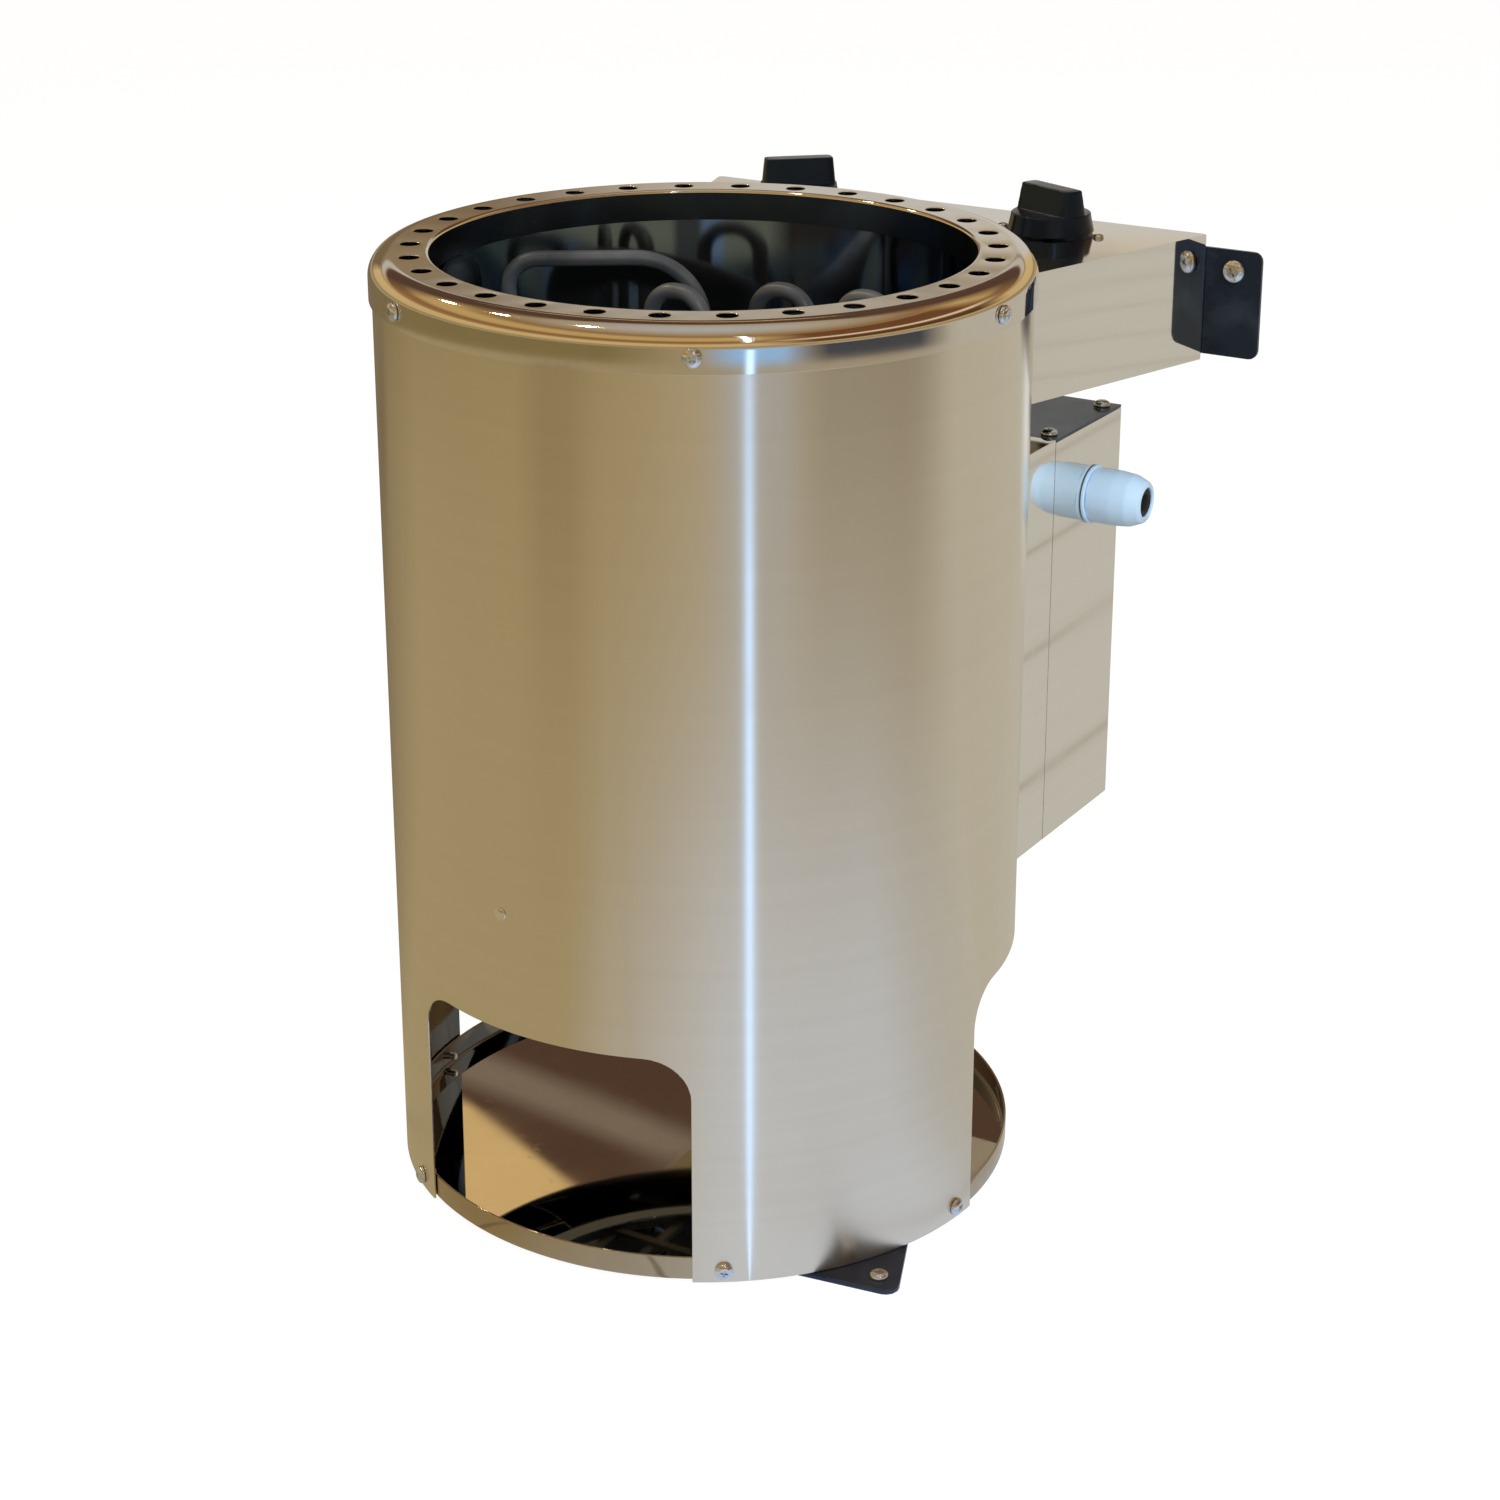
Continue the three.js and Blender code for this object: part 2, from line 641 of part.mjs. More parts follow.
// Path of an element from the rear up over each pair of legs and back to the rear; pairs join below
function elementPath(legs) {
  const end = JUNCTION_SEAM + ELEMENT_TAIL;
  const first = legs[0];
  const last = legs[legs.length - 1];
  const corners = [{ at: [first.foot[0], end, ELEMENT_Z] }];
  corners.push({ at: [...first.foot, ELEMENT_Z], bend: TAIL_BEND });
  legs.forEach(({ foot, top, bend }, i) => {
    const bridge = { at: [...foot, ELEMENT_Z + BRIDGE_LIFT], bend: TWIN_BEND };
    const crest = { at: [...top, ELEMENT_TOP], bend };
    const rising = i % 2 === 0;
    if (rising && i > 0) {
      corners.push(bridge);
    }
    corners.push(crest);
    if (!rising && i < legs.length - 1) {
      corners.push(bridge);
    }
  });
  corners.push({ at: [...last.foot, ELEMENT_Z], bend: TAIL_BEND });
  corners.push({ at: [last.foot[0], end, ELEMENT_Z] });
  return corners;
}

// Plan of the control box at a wall's depth, from a place in front to a place behind
function controlPlan(inset, front, back) {
  const halfAt = (y) => CONTROL_ROOT_HALF_WIDTH + (y - ROOT_PLACE) * Math.tan(FLARE) - inset / Math.cos(FLARE);
  return [[-halfAt(front), front], [halfAt(front), front], [halfAt(back), back], [-halfAt(back), back]];
}

// Control box: a folded hood that butts against the jacket, open below, with a wall behind the jacket
function controlHoodBody() {
  const front = ROOT_PLACE - CONTROL_HEIGHT;
  const roof = CONTROL_TOP - SHEET;
  const hollow = upright(controlPlan(SHEET, CONTROL_FRONT_WALL + SHEET, CONTROL_BACK - SHEET), 0, roof);
  const throat = upright(controlPlan(SHEET, front - SHEET, CONTROL_FRONT_WALL), 0, roof);
  const hood = upright(controlPlan(0, front, CONTROL_BACK), CONTROL_BOTTOM, CONTROL_TOP);
  const shaftHoles = SIDES.map((side) => (
    pinUpright(side * KNOB_SPREAD, KNOB_PLACE, SHAFT_HOLE_RADIUS + GAP, roof - SHEET, FAR, SMALL_STEPS)
  ));
  return cut(hood, [hollow, throat, jacketSpace(), ...shaftHoles, ...SIDES.map(bracketScrewHole)]);
}

function controlFloorBody() {
  const plan = controlPlan(SHEET + GAP, CONTROL_FRONT_WALL + SHEET + GAP, CONTROL_BACK - SHEET - GAP);
  const bottom = CONTROL_BOTTOM + FLOOR_RECESS;
  const opening = pinUpright(0, SLEEVE_PLACE, SLEEVE_RADIUS + GAP, 0, RIM_TOP, SMALL_STEPS);
  return cut(upright(plan, bottom, bottom + SHEET), [opening]);
}

// Timer or thermostat: a case below the control box's roof, with a socket for its shaft
function unitBody([width, depth, height], side) {
  const top = CONTROL_TOP - SHEET - GAP;
  const x = side * KNOB_SPREAD;
  const body = block(
    [x - width / 2, KNOB_PLACE - depth / 2, top - height],
    [x + width / 2, KNOB_PLACE + depth / 2, top],
  );
  const socket = pinUpright(x, KNOB_PLACE, SHAFT_HOLE_RADIUS, top - SHAFT_IN_UNIT - GAP, RIM_TOP, SMALL_STEPS);
  return cut(body, [socket]);
}

function shaftBody() {
  const bottom = CONTROL_TOP - SHEET - GAP - SHAFT_IN_UNIT;
  const top = CONTROL_TOP + KNOB_LIFT + SHAFT_IN_KNOB;
  const body = disc(SHAFT_RADIUS, bottom, top);
  const shave = block([-SHAFT_RADIUS, SHAFT_FLAT, CONTROL_TOP + KNOB_LIFT], [SHAFT_RADIUS, SHAFT_RADIUS, FAR]);
  return cut(body, [shave]);
}

// Knob: a round skirt, a grip cut to a wedge from a tapered drum, and a socket for the shaft
function knobBody() {
  const bottom = CONTROL_TOP + KNOB_LIFT;
  const shoulder = bottom + KNOB_SKIRT;
  const top = bottom + KNOB_HEIGHT;
  const neck = KNOB_RADIUS - KNOB_TAPER;
  const drum = neck - KNOB_EDGE;
  const drumTop = drum - GRIP_TAPER;
  const skirt = revolve([
    [0, bottom],
    [KNOB_RADIUS, bottom],
    [neck, shoulder - KNOB_EDGE],
    [drum, shoulder],
    [0, shoulder],
  ], 2 * SMALL_STEPS);
  const grip = revolve([
    [0, shoulder - KNOB_EDGE],
    [drum, shoulder - KNOB_EDGE],
    [drumTop, top - KNOB_EDGE],
    [drumTop - KNOB_EDGE, top],
    [0, top],
  ], 2 * SMALL_STEPS);
  const base = GRIP_BASE_THICKNESS / 2;
  const crown = GRIP_TOP_THICKNESS / 2;
  const wedge = alongX([
    [-base, shoulder - KNOB_EDGE],
    [base, shoulder - KNOB_EDGE],
    [crown, top - KNOB_EDGE],
    [crown - KNOB_EDGE, top],
    [KNOB_EDGE - crown, top],
    [-crown, top - KNOB_EDGE],
  ], -FAR, FAR);
  const socket = disc(SHAFT_HOLE_RADIUS, 0, bottom + SHAFT_IN_KNOB + GAP);
  return cut(join([skirt, grip.intersect(wedge)]), [socket]);
}

// Wall bracket, right or left: a flat leaf behind the control box that stands out at its side
function bracketBody(side) {
  const corner = WALL_LEAF_EDGE - WALL_LEAF_CORNER;
  const tucked = CONTROL_BACK_HALF_WIDTH - WALL_LEAF_TUCK;
  const outline = [
    [tucked, BRACKET_BOTTOM],
    ...arc([corner, BRACKET_BOTTOM + WALL_LEAF_CORNER], WALL_LEAF_CORNER, -90, 0),
    ...arc([corner, BRACKET_TOP - WALL_LEAF_CORNER], WALL_LEAF_CORNER, 0, 90),
    [tucked, BRACKET_TOP],
  ];
  const leaf = alongY(outline.map(([x, z]) => [side * x, z]), CONTROL_BACK + GAP, WALL_PLANE);
  const seat = wallScrewSeat(side);
  const wallHole = pinAlongY(seat.x, seat.z, SCREW_HOLE_RADIUS, CONTROL_BACK - SHEET, FAR);
  return cut(leaf, [wallHole, bracketScrewHole(side)]);
}

// Seat of the screw in a bracket's wall leaf
function wallScrewSeat(side) {
  return {
    x: side * (WALL_LEAF_EDGE - WALL_SCREW_EDGE),
    y: CONTROL_BACK + GAP,
    z: BRACKET_TOP - WALL_SCREW_DROP,
  };
}

// Seat of the screw inside the control box that holds a bracket on its rear wall
function bracketScrewSeat(side) {
  return {
    x: side * (CONTROL_BACK_HALF_WIDTH - BRACKET_SCREW_PLACE),
    y: CONTROL_BACK - SHEET,
    z: BRACKET_TOP - BRACKET_SCREW_DROP,
  };
}

function bracketScrewHole(side) {
  const seat = bracketScrewSeat(side);
  return pinAlongY(seat.x, seat.z, SCREW_HOLE_RADIUS, seat.y - SHEET, FAR);
}

// Front half of the connection box: a shell against the jacket whose rear wall carries the elements
function junctionBaseBody() {
  const front = ROOT_PLACE - JUNCTION_HALF_WIDTH / 2;
  const half = JUNCTION_HALF_WIDTH;
  const shell = block([-half, front, JUNCTION_BOTTOM], [half, JUNCTION_SEAM, JUNCTION_TOP]);
  const hollow = block(
    [SHEET - half, front - SHEET, JUNCTION_BOTTOM + SHEET],
    [half - SHEET, JUNCTION_SEAM - SHEET, JUNCTION_TOP - SHEET],
  );
  return cut(shell, [hollow, jacketSpace(), ...elementHoles(JUNCTION_SEAM - 2 * SHEET, FAR)]);
}

function lidScrewPlaces() {
  const x = JUNCTION_HALF_WIDTH - LID_SCREW_INSET;
  const near = COVER_FRONT + LID_SCREW_INSET;
  const far = JUNCTION_BACK - LID_SCREW_INSET;
  return [[x, near], [x, far], [-x, near], [-x, far]];
}

function lidScrewHoles() {
  return lidScrewPlaces().map(([x, y]) => (
    pinUpright(x, y, SCREW_HOLE_RADIUS, JUNCTION_TOP - 2 * SCREW_LENGTH, FAR)
  ));
}

// Rear half of the connection box: open above for its lid, which is screwed to four corner tabs
function junctionCoverBody() {
  const half = JUNCTION_HALF_WIDTH;
  const top = JUNCTION_TOP - SHEET - GAP;
  const shell = block([-half, COVER_FRONT, JUNCTION_BOTTOM], [half, JUNCTION_BACK, top]);
  const hollow = block(
    [SHEET - half, COVER_FRONT - SHEET, JUNCTION_BOTTOM + SHEET],
    [half - SHEET, JUNCTION_BACK - SHEET, JUNCTION_TOP],
  );
  const tabs = [];
  for (const side of SIDES) {
    const inner = side * (half - LID_TAB);
    const outer = side * (half - SHEET / 2);
    const [x0, x1] = [Math.min(inner, outer), Math.max(inner, outer)];
    tabs.push(block([x0, COVER_FRONT, top - LID_TAB_THICKNESS], [x1, COVER_FRONT + LID_TAB, top]));
    tabs.push(block([x0, JUNCTION_BACK - LID_TAB, top - LID_TAB_THICKNESS], [x1, JUNCTION_BACK - SHEET / 2, top]));
  }
  const inlet = pinAlongX(GLAND_PLACE, GLAND_Z, GLAND_THREAD_RADIUS + GAP, 0, FAR);
  return cut(join([shell.subtract(hollow), ...tabs]), [inlet, ...lidScrewHoles()]);
}

function junctionLidBody() {
  const half = JUNCTION_HALF_WIDTH;
  const plate = block([-half, COVER_FRONT, JUNCTION_TOP - SHEET], [half, JUNCTION_BACK, JUNCTION_TOP]);
  const opening = pinUpright(0, SLEEVE_PLACE, SLEEVE_RADIUS + GAP, 0, RIM_TOP, SMALL_STEPS);
  return cut(plate, [opening, ...lidScrewHoles()]);
}

// Sleeve that takes the wires from the connection box up to the control box, on a collar
function sleeveBody() {
  const collarBottom = JUNCTION_TOP + GAP;
  const bore = SLEEVE_RADIUS - SHEET;
  return revolve([
    [bore, JUNCTION_TOP - SLEEVE_REACH],
    [SLEEVE_RADIUS, JUNCTION_TOP - SLEEVE_REACH],
    [SLEEVE_RADIUS, collarBottom],
    [SLEEVE_RADIUS + SLEEVE_COLLAR, collarBottom],
    [SLEEVE_RADIUS + SLEEVE_COLLAR, collarBottom + SHEET],
    [SLEEVE_RADIUS, collarBottom + SHEET],
    [SLEEVE_RADIUS, CONTROL_BOTTOM + FLOOR_RECESS + SLEEVE_REACH],
    [bore, CONTROL_BOTTOM + FLOOR_RECESS + SLEEVE_REACH],
    [bore, JUNCTION_TOP - SLEEVE_REACH],
  ], SMALL_STEPS);
}

// Terminal block on the element wall: a row of ceramic terminals with a channel between neighbours
function terminalBlockBody() {
  const half = (TERMINALS * TERMINAL_PITCH) / 2;
  const bottom = JUNCTION_BOTTOM + TERMINAL_LIFT;
  const front = COVER_FRONT;
  const body = block([-half, front, bottom], [half, front + TERMINAL_DEPTH, bottom + TERMINAL_HEIGHT]);
  const channels = Array.from({ length: TERMINALS - 1 }, (_, i) => {
    const x = (i + 1) * TERMINAL_PITCH - half;
    const side = TERMINAL_CHANNEL / 2;
    return block([x - side, front + TERMINAL_DEPTH / 2, 0], [x + side, FAR, FAR]);
  });
  return cut(body, channels);
}

// Overheat cut-out along Z: a round snap switch with two tabs
function cutoutBody() {
  const [thickness, width, length] = CUTOUT_TAB;
  const tabs = SIDES.map((side) => {
    const x = side * CUTOUT_TAB_PLACE;
    const bottom = CUTOUT_DEPTH - SHEET;
    return block([x - thickness / 2, -width / 2, bottom], [x + thickness / 2, width / 2, bottom + length]);
  });
  return join([disc(CUTOUT_RADIUS, 0, CUTOUT_DEPTH), ...tabs]);
}

// Cable gland along Z from the box's wall at z = 0: a flanged body with a threaded stub inside the box
function glandBodyBody() {
  const seat = GAP;
  const shoulder = seat + GLAND_FLANGE;
  return revolve([
    [GLAND_BORE_RADIUS, -GLAND_STUB],
    [GLAND_THREAD_RADIUS, -GLAND_STUB],
    [GLAND_THREAD_RADIUS, seat],
    [GLAND_FLANGE_RADIUS, seat],
    [GLAND_FLANGE_RADIUS, shoulder],
    [GLAND_NECK_RADIUS, shoulder],
    [GLAND_NECK_RADIUS, shoulder + GLAND_NECK],
    [GLAND_BORE_RADIUS, shoulder + GLAND_NECK],
    [GLAND_BORE_RADIUS, -GLAND_STUB],
  ], SMALL_STEPS);
}

// Domed nut of the gland, with grip flats and a mouth for the seal
function glandNutBody() {
  const bottom = 2 * GAP + GLAND_FLANGE;
  const top = bottom + GLAND_NUT_LENGTH;
  const hollow = bottom + GLAND_NECK + GAP;
  const neck = GLAND_NECK_RADIUS + GAP;
  const body = revolve([
    [neck, bottom],
    [GLAND_NUT_RADIUS, bottom],
    [GLAND_NUT_RADIUS, bottom + GLAND_GRIP],
    [GLAND_WAIST[0], bottom + GLAND_WAIST[1]],
    [GLAND_CROWN_RADIUS, top - SHEET],
    [GLAND_MOUTH_RADIUS + SHEET, top],
    [GLAND_MOUTH_RADIUS, top],
    [GLAND_MOUTH_RADIUS, hollow],
    [neck, hollow],
    [neck, bottom],
  ], SMALL_STEPS);
  const flats = Array.from({ length: GLAND_NUT_FLATS }, (_, i) => {
    const flat = new THREE.BoxGeometry(GLAND_FLAT_WIDTH, SHEET, 2 * GLAND_GRIP);
    flat.translate(0, -GLAND_NUT_RADIUS, bottom).rotateZ((i * 2 * Math.PI) / GLAND_NUT_FLATS);
    return solid(flat);
  });
  return cut(body, flats);
}

function glandSealBody() {
  const top = 2 * GAP + GLAND_FLANGE + GLAND_NUT_LENGTH - SHEET;
  return ring(SEAL_BORE_RADIUS, GLAND_MOUTH_RADIUS - GAP, top - SEAL_LENGTH, top, SMALL_STEPS);
}

function glandLocknutBody() {
  const top = -SHEET - GAP;
  const nut = disc(LOCKNUT_RADIUS, top - LOCKNUT_THICKNESS, top, LOCKNUT_SIDES);
  return cut(nut, [disc(GLAND_THREAD_RADIUS + GAP, -FAR, FAR)]);
}

// Scene graph
const heater = new THREE.Group();
const assembly = new THREE.Group();
assembly.position.y = (SKIRT_RADIUS - WALL_PLANE) / 2;
heater.add(assembly);

function addMesh(parent, name, body, finish) {
  const mesh = new THREE.Mesh(geometryOf(body), new THREE.MeshStandardMaterial(FINISHES[finish]));
  mesh.name = name;
  parent.add(mesh);
  return mesh;
}

function addGroup(parent, { x = 0, y = 0, z = 0, turn = 0 }) {
  const group = new THREE.Group();
  group.position.set(x, y, z);
  group.rotation.z = turn;
  parent.add(group);
  return group;
}

// Screw on an upright surface, pointing out at an azimuth from a place on the surface
function addSideScrew(name, seat, azimuth, body = screwBody()) {
  const group = addGroup(assembly, { ...seat, turn: radians(azimuth) });
  addMesh(group, name, body, 'zinc').rotation.x = Math.PI / 2;
}

function addRadialScrew(name, azimuth, radius, z) {
  const angle = radians(azimuth);
  addSideScrew(name, { x: radius * Math.sin(angle), y: -radius * Math.cos(angle), z }, azimuth);
}

function addBody() {
  addMesh(assembly, 'jacket', jacketBody(), 'polished_steel');
  addMesh(assembly, 'top_rim', rimBody(), 'polished_steel');
  addMesh(assembly, 'stone_chamber', chamberBody(), 'chamber_steel');
  addMesh(assembly, 'stone_grate', grateBody(), 'element_steel');
  addMesh(assembly, 'bottom_tray', trayBody(), 'polished_steel');
  STRAP_ANGLES.forEach((azimuth, i) => {
    const group = addGroup(assembly, { turn: radians(azimuth) });
    addMesh(group, `chamber_strap_${i + 1}`, strapBody(), 'polished_steel');
  });
  rimScrewAngles().forEach((azimuth, i) => {
    addRadialScrew(`rim_screw_${i + 1}`, azimuth, SKIRT_RADIUS, RIM_TOP - RIM_SCREW_DROP);
  });
  LEG_SCREW_ANGLES.forEach((azimuth, i) => {
    addRadialScrew(`leg_screw_${i + 1}`, azimuth, JACKET_RADIUS, SEAT_Z + LEG_SCREW_LIFT);
  });
}

function addFeet() {
  for (const [name, azimuth] of Object.entries(FOOT_ANGLES)) {
    const group = addGroup(assembly, { turn: radians(azimuth) });
    addMesh(group, name, footBody(), 'dark_steel');
    const screw = addMesh(group, `${name}_screw`, screwBody(FOOT_THICKNESS), 'zinc');
    screw.position.set(0, -FOOT_SCREW_RADIUS, FOOT_THICKNESS);
  }
}

function addElements() {
  for (const [name, legs] of elementRoutes()) {
    addMesh(assembly, name, bentTube(elementPath(legs), ELEMENT_RADIUS, ELEMENT_SIDES), 'element_steel');
  }
}

function addControls() {
  addMesh(assembly, 'control_hood', controlHoodBody(), 'polished_steel');
  addMesh(assembly, 'control_floor', controlFloorBody(), 'polished_steel');
  const units = [
    { name: 'timer', side: -1, size: TIMER_SIZE, turn: TIMER_REST_TURN },
    { name: 'thermostat', side: 1, size: THERMOSTAT_SIZE, turn: THERMOSTAT_REST_TURN },
  ];
  for (const { name, side, size, turn } of units) {
    addMesh(assembly, `${name}_unit`, unitBody(size, side), 'ceramic');
    const group = addGroup(assembly, { x: side * KNOB_SPREAD, y: KNOB_PLACE, turn: radians(turn) });
    addMesh(group, `${name}_shaft`, shaftBody(), 'zinc');
    addMesh(group, `${name}_knob`, knobBody(), 'black_plastic');
  }
}

function addBrackets() {
  for (const side of SIDES) {
    const hand = side > 0 ? 'right' : 'left';
    addMesh(assembly, `wall_bracket_${hand}`, bracketBody(side), 'dark_steel');
    const boxScrew = screwBody(SHEET + BRACKET_SHEET - GAP);
    const wallScrew = screwBody(BRACKET_SHEET - GAP, WALL_SCREW_HEAD_RADIUS);
    addSideScrew(`bracket_screw_${hand}`, bracketScrewSeat(side), 0, boxScrew);
    addSideScrew(`wall_screw_${hand}`, wallScrewSeat(side), 0, wallScrew);
  }
}

function addJunction() {
  addMesh(assembly, 'junction_base', junctionBaseBody(), 'polished_steel');
  addMesh(assembly, 'junction_cover', junctionCoverBody(), 'polished_steel');
  addMesh(assembly, 'junction_lid', junctionLidBody(), 'dark_steel');
  addMesh(assembly, 'terminal_block', terminalBlockBody(), 'ceramic');
  const cutout = addMesh(assembly, 'overheat_cutout', cutoutBody(), 'black_plastic');
  cutout.position.set(0, COVER_FRONT, JUNCTION_BOTTOM + CUTOUT_LIFT);
  cutout.rotation.x = -Math.PI / 2;
  addMesh(assembly, 'wire_sleeve', sleeveBody(), 'zinc').position.y = SLEEVE_PLACE;
  lidScrewPlaces().forEach(([x, y], i) => {
    addMesh(assembly, `lid_screw_${i + 1}`, screwBody(), 'zinc').position.set(x, y, JUNCTION_TOP);
  });
}

function addGland() {
  const pieces = {
    gland_body: [glandBodyBody(), 'grey_plastic'],
    gland_nut: [glandNutBody(), 'grey_plastic'],
    gland_seal: [glandSealBody(), 'rubber'],
    gland_locknut: [glandLocknutBody(), 'grey_plastic'],
  };
  const group = addGroup(assembly, { x: JUNCTION_HALF_WIDTH, y: GLAND_PLACE, z: GLAND_Z });
  for (const [name, [body, finish]] of Object.entries(pieces)) {
    addMesh(group, name, body, finish).rotation.y = Math.PI / 2;
  }
}

addBody();
addFeet();
addElements();
addControls();
addBrackets();
addJunction();
addGland();

export default heater;
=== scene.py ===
"""Looks of an electric sauna heater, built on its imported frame.

Each sub-assembly is a class that builds its meshes and dresses them. Sizes are in metres, +Z is up, -Y is the
front with the air vent, and azimuths are degrees from the front towards +X.
"""

import logging
import math
from collections.abc import Callable, Sequence
from dataclasses import dataclass, field
from enum import Enum

import bmesh
import bpy
import numpy as np
from mathutils import Matrix, Vector


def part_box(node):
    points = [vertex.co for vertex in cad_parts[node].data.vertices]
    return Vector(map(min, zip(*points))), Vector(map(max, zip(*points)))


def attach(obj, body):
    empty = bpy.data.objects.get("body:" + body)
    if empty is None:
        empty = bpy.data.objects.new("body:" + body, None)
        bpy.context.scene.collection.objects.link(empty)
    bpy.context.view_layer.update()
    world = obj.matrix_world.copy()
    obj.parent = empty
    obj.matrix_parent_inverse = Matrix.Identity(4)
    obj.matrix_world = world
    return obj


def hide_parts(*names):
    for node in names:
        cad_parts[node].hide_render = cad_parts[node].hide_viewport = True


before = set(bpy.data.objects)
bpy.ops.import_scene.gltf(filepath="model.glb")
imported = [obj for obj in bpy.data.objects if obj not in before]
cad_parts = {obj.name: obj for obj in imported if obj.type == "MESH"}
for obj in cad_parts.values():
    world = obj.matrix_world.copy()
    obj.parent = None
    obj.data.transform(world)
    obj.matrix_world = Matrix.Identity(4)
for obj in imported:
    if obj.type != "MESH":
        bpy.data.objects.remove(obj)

LOG = logging.getLogger("sauna_heater")
MM = 0.001
TINY = 1e-6
SMALL_PIECE_ANGLE = 35.0
SHEET_EDGE_ANGLE = 50.0

Point = tuple[float, float]
Pair = tuple[float, float]
Triple = tuple[float, float, float]
Colour = tuple[float, float, float, float]
Section = Callable[[float, float, float], float]


class Body(Enum):
    """Rigid bodies of the frame that pieces ride on."""

    HEATER = "heater"
    TIMER = "timer_dial"
    THERMOSTAT = "thermostat_dial"


class Slot(Enum):
    """Material slots of the record."""

    POLISHED = "polished_steel"
    CHAMBER = "chamber_steel"
    ELEMENT = "element_steel"
    DARK = "dark_steel"
    ZINC = "zinc_steel"
    BLACK = "black_plastic"
    GREY = "grey_plastic"
    RUBBER = "seal_rubber"
    CERAMIC = "ceramic"


class LineRun(Enum):
    """Way that the polishing lines of a steel surface run."""

    AROUND = "round the axis, on the sheet's own map"
    LEVEL = "level, on upright faces"
    FREE = "in no one direction"


# Node trees


class Graph:
    """Thin layer over a node tree that adds nodes and feeds their sockets."""

    def __init__(self, tree: bpy.types.NodeTree) -> None:
        """Takes the tree that nodes are added to."""
        self.tree = tree

    def feed(self, socket: bpy.types.NodeSocket, value: object) -> None:
        """Links a socket or sets its value.

        Args:
            socket: Input that takes the value.
            value: Another node's output, or a plain value.
        """
        if isinstance(value, bpy.types.NodeSocket):
            self.tree.links.new(value, socket)
        else:
            socket.default_value = value

    def add(
        self, kind: str, inputs: dict[str | int, object] | None = None, **settings: object,
    ) -> bpy.types.Node:
        """Adds a node.

        Args:
            kind: Blender's name of the node type.
            inputs: Values or outputs for its input sockets, by name or index.
            **settings: Properties of the node.

        Returns:
            The new node.
        """
        node = self.tree.nodes.new(kind)
        for name, value in settings.items():
            setattr(node, name, value)
        for key, value in (inputs or {}).items():
            self.feed(node.inputs[key], value)
        return node

    def math(self, operation: str, first: object, second: object = 0.0) -> bpy.types.NodeSocket:
        """Adds a math node and returns its result."""
        return self.add("ShaderNodeMath", {0: first, 1: second}, operation=operation).outputs[0]

    def mix(self, factor: object, first: object, second: object) -> bpy.types.NodeSocket:
        """Adds a colour mix and returns its result."""
        return self.add("ShaderNodeMix", {0: factor, 6: first, 7: second}, data_type="RGBA").outputs[2]

    def noise(self, vector: object, scale: object, detail: float) -> bpy.types.NodeSocket:
        """Adds a noise texture and returns its value."""
        values = {"Vector": vector, "Scale": scale, "Detail": detail}
        return self.add("ShaderNodeTexNoise", values).outputs[0]

    def spread(
        self, value: object, low: float, high: float, start: float = 0.0, end: float = 1.0,
    ) -> bpy.types.NodeSocket:
        """Maps a value from one range to another and returns the result.

        Args:
            value: Value to map.
            low: Result at the start of the range.
            high: Result at the end of the range.
            start: Start of the value's range.
            end: End of the value's range.

        Returns:
            The output socket of the mapped value.
        """
        limits = {"Value": value, "From Min": start, "From Max": end, "To Min": low, "To Max": high}
        return self.add("ShaderNodeMapRange", limits).outputs[0]


def new_group(
    name: str, kind: str, inputs: dict[str, str], outputs: dict[str, str],
) -> tuple[Graph, dict, dict]:
    """Makes an empty node group with named sockets.

    Args:
        name: Name of the group.
        kind: Tree type, for shaders or for geometry.
        inputs: Socket types of its inputs by name.
        outputs: Socket types of its outputs by name.

    Returns:
        The group's graph, its inputs as sockets by name, and its output sockets by name.
    """
    tree = bpy.data.node_groups.new(name, kind)
    for socket, socket_type in inputs.items():
        tree.interface.new_socket(name=socket, in_out="INPUT", socket_type=socket_type)
    for socket, socket_type in outputs.items():
        tree.interface.new_socket(name=socket, in_out="OUTPUT", socket_type=socket_type)
    graph = Graph(tree)
    given = graph.add("NodeGroupInput")
    wanted = graph.add("NodeGroupOutput")
    return graph, {s: given.outputs[s] for s in inputs}, {s: wanted.inputs[s] for s in outputs}


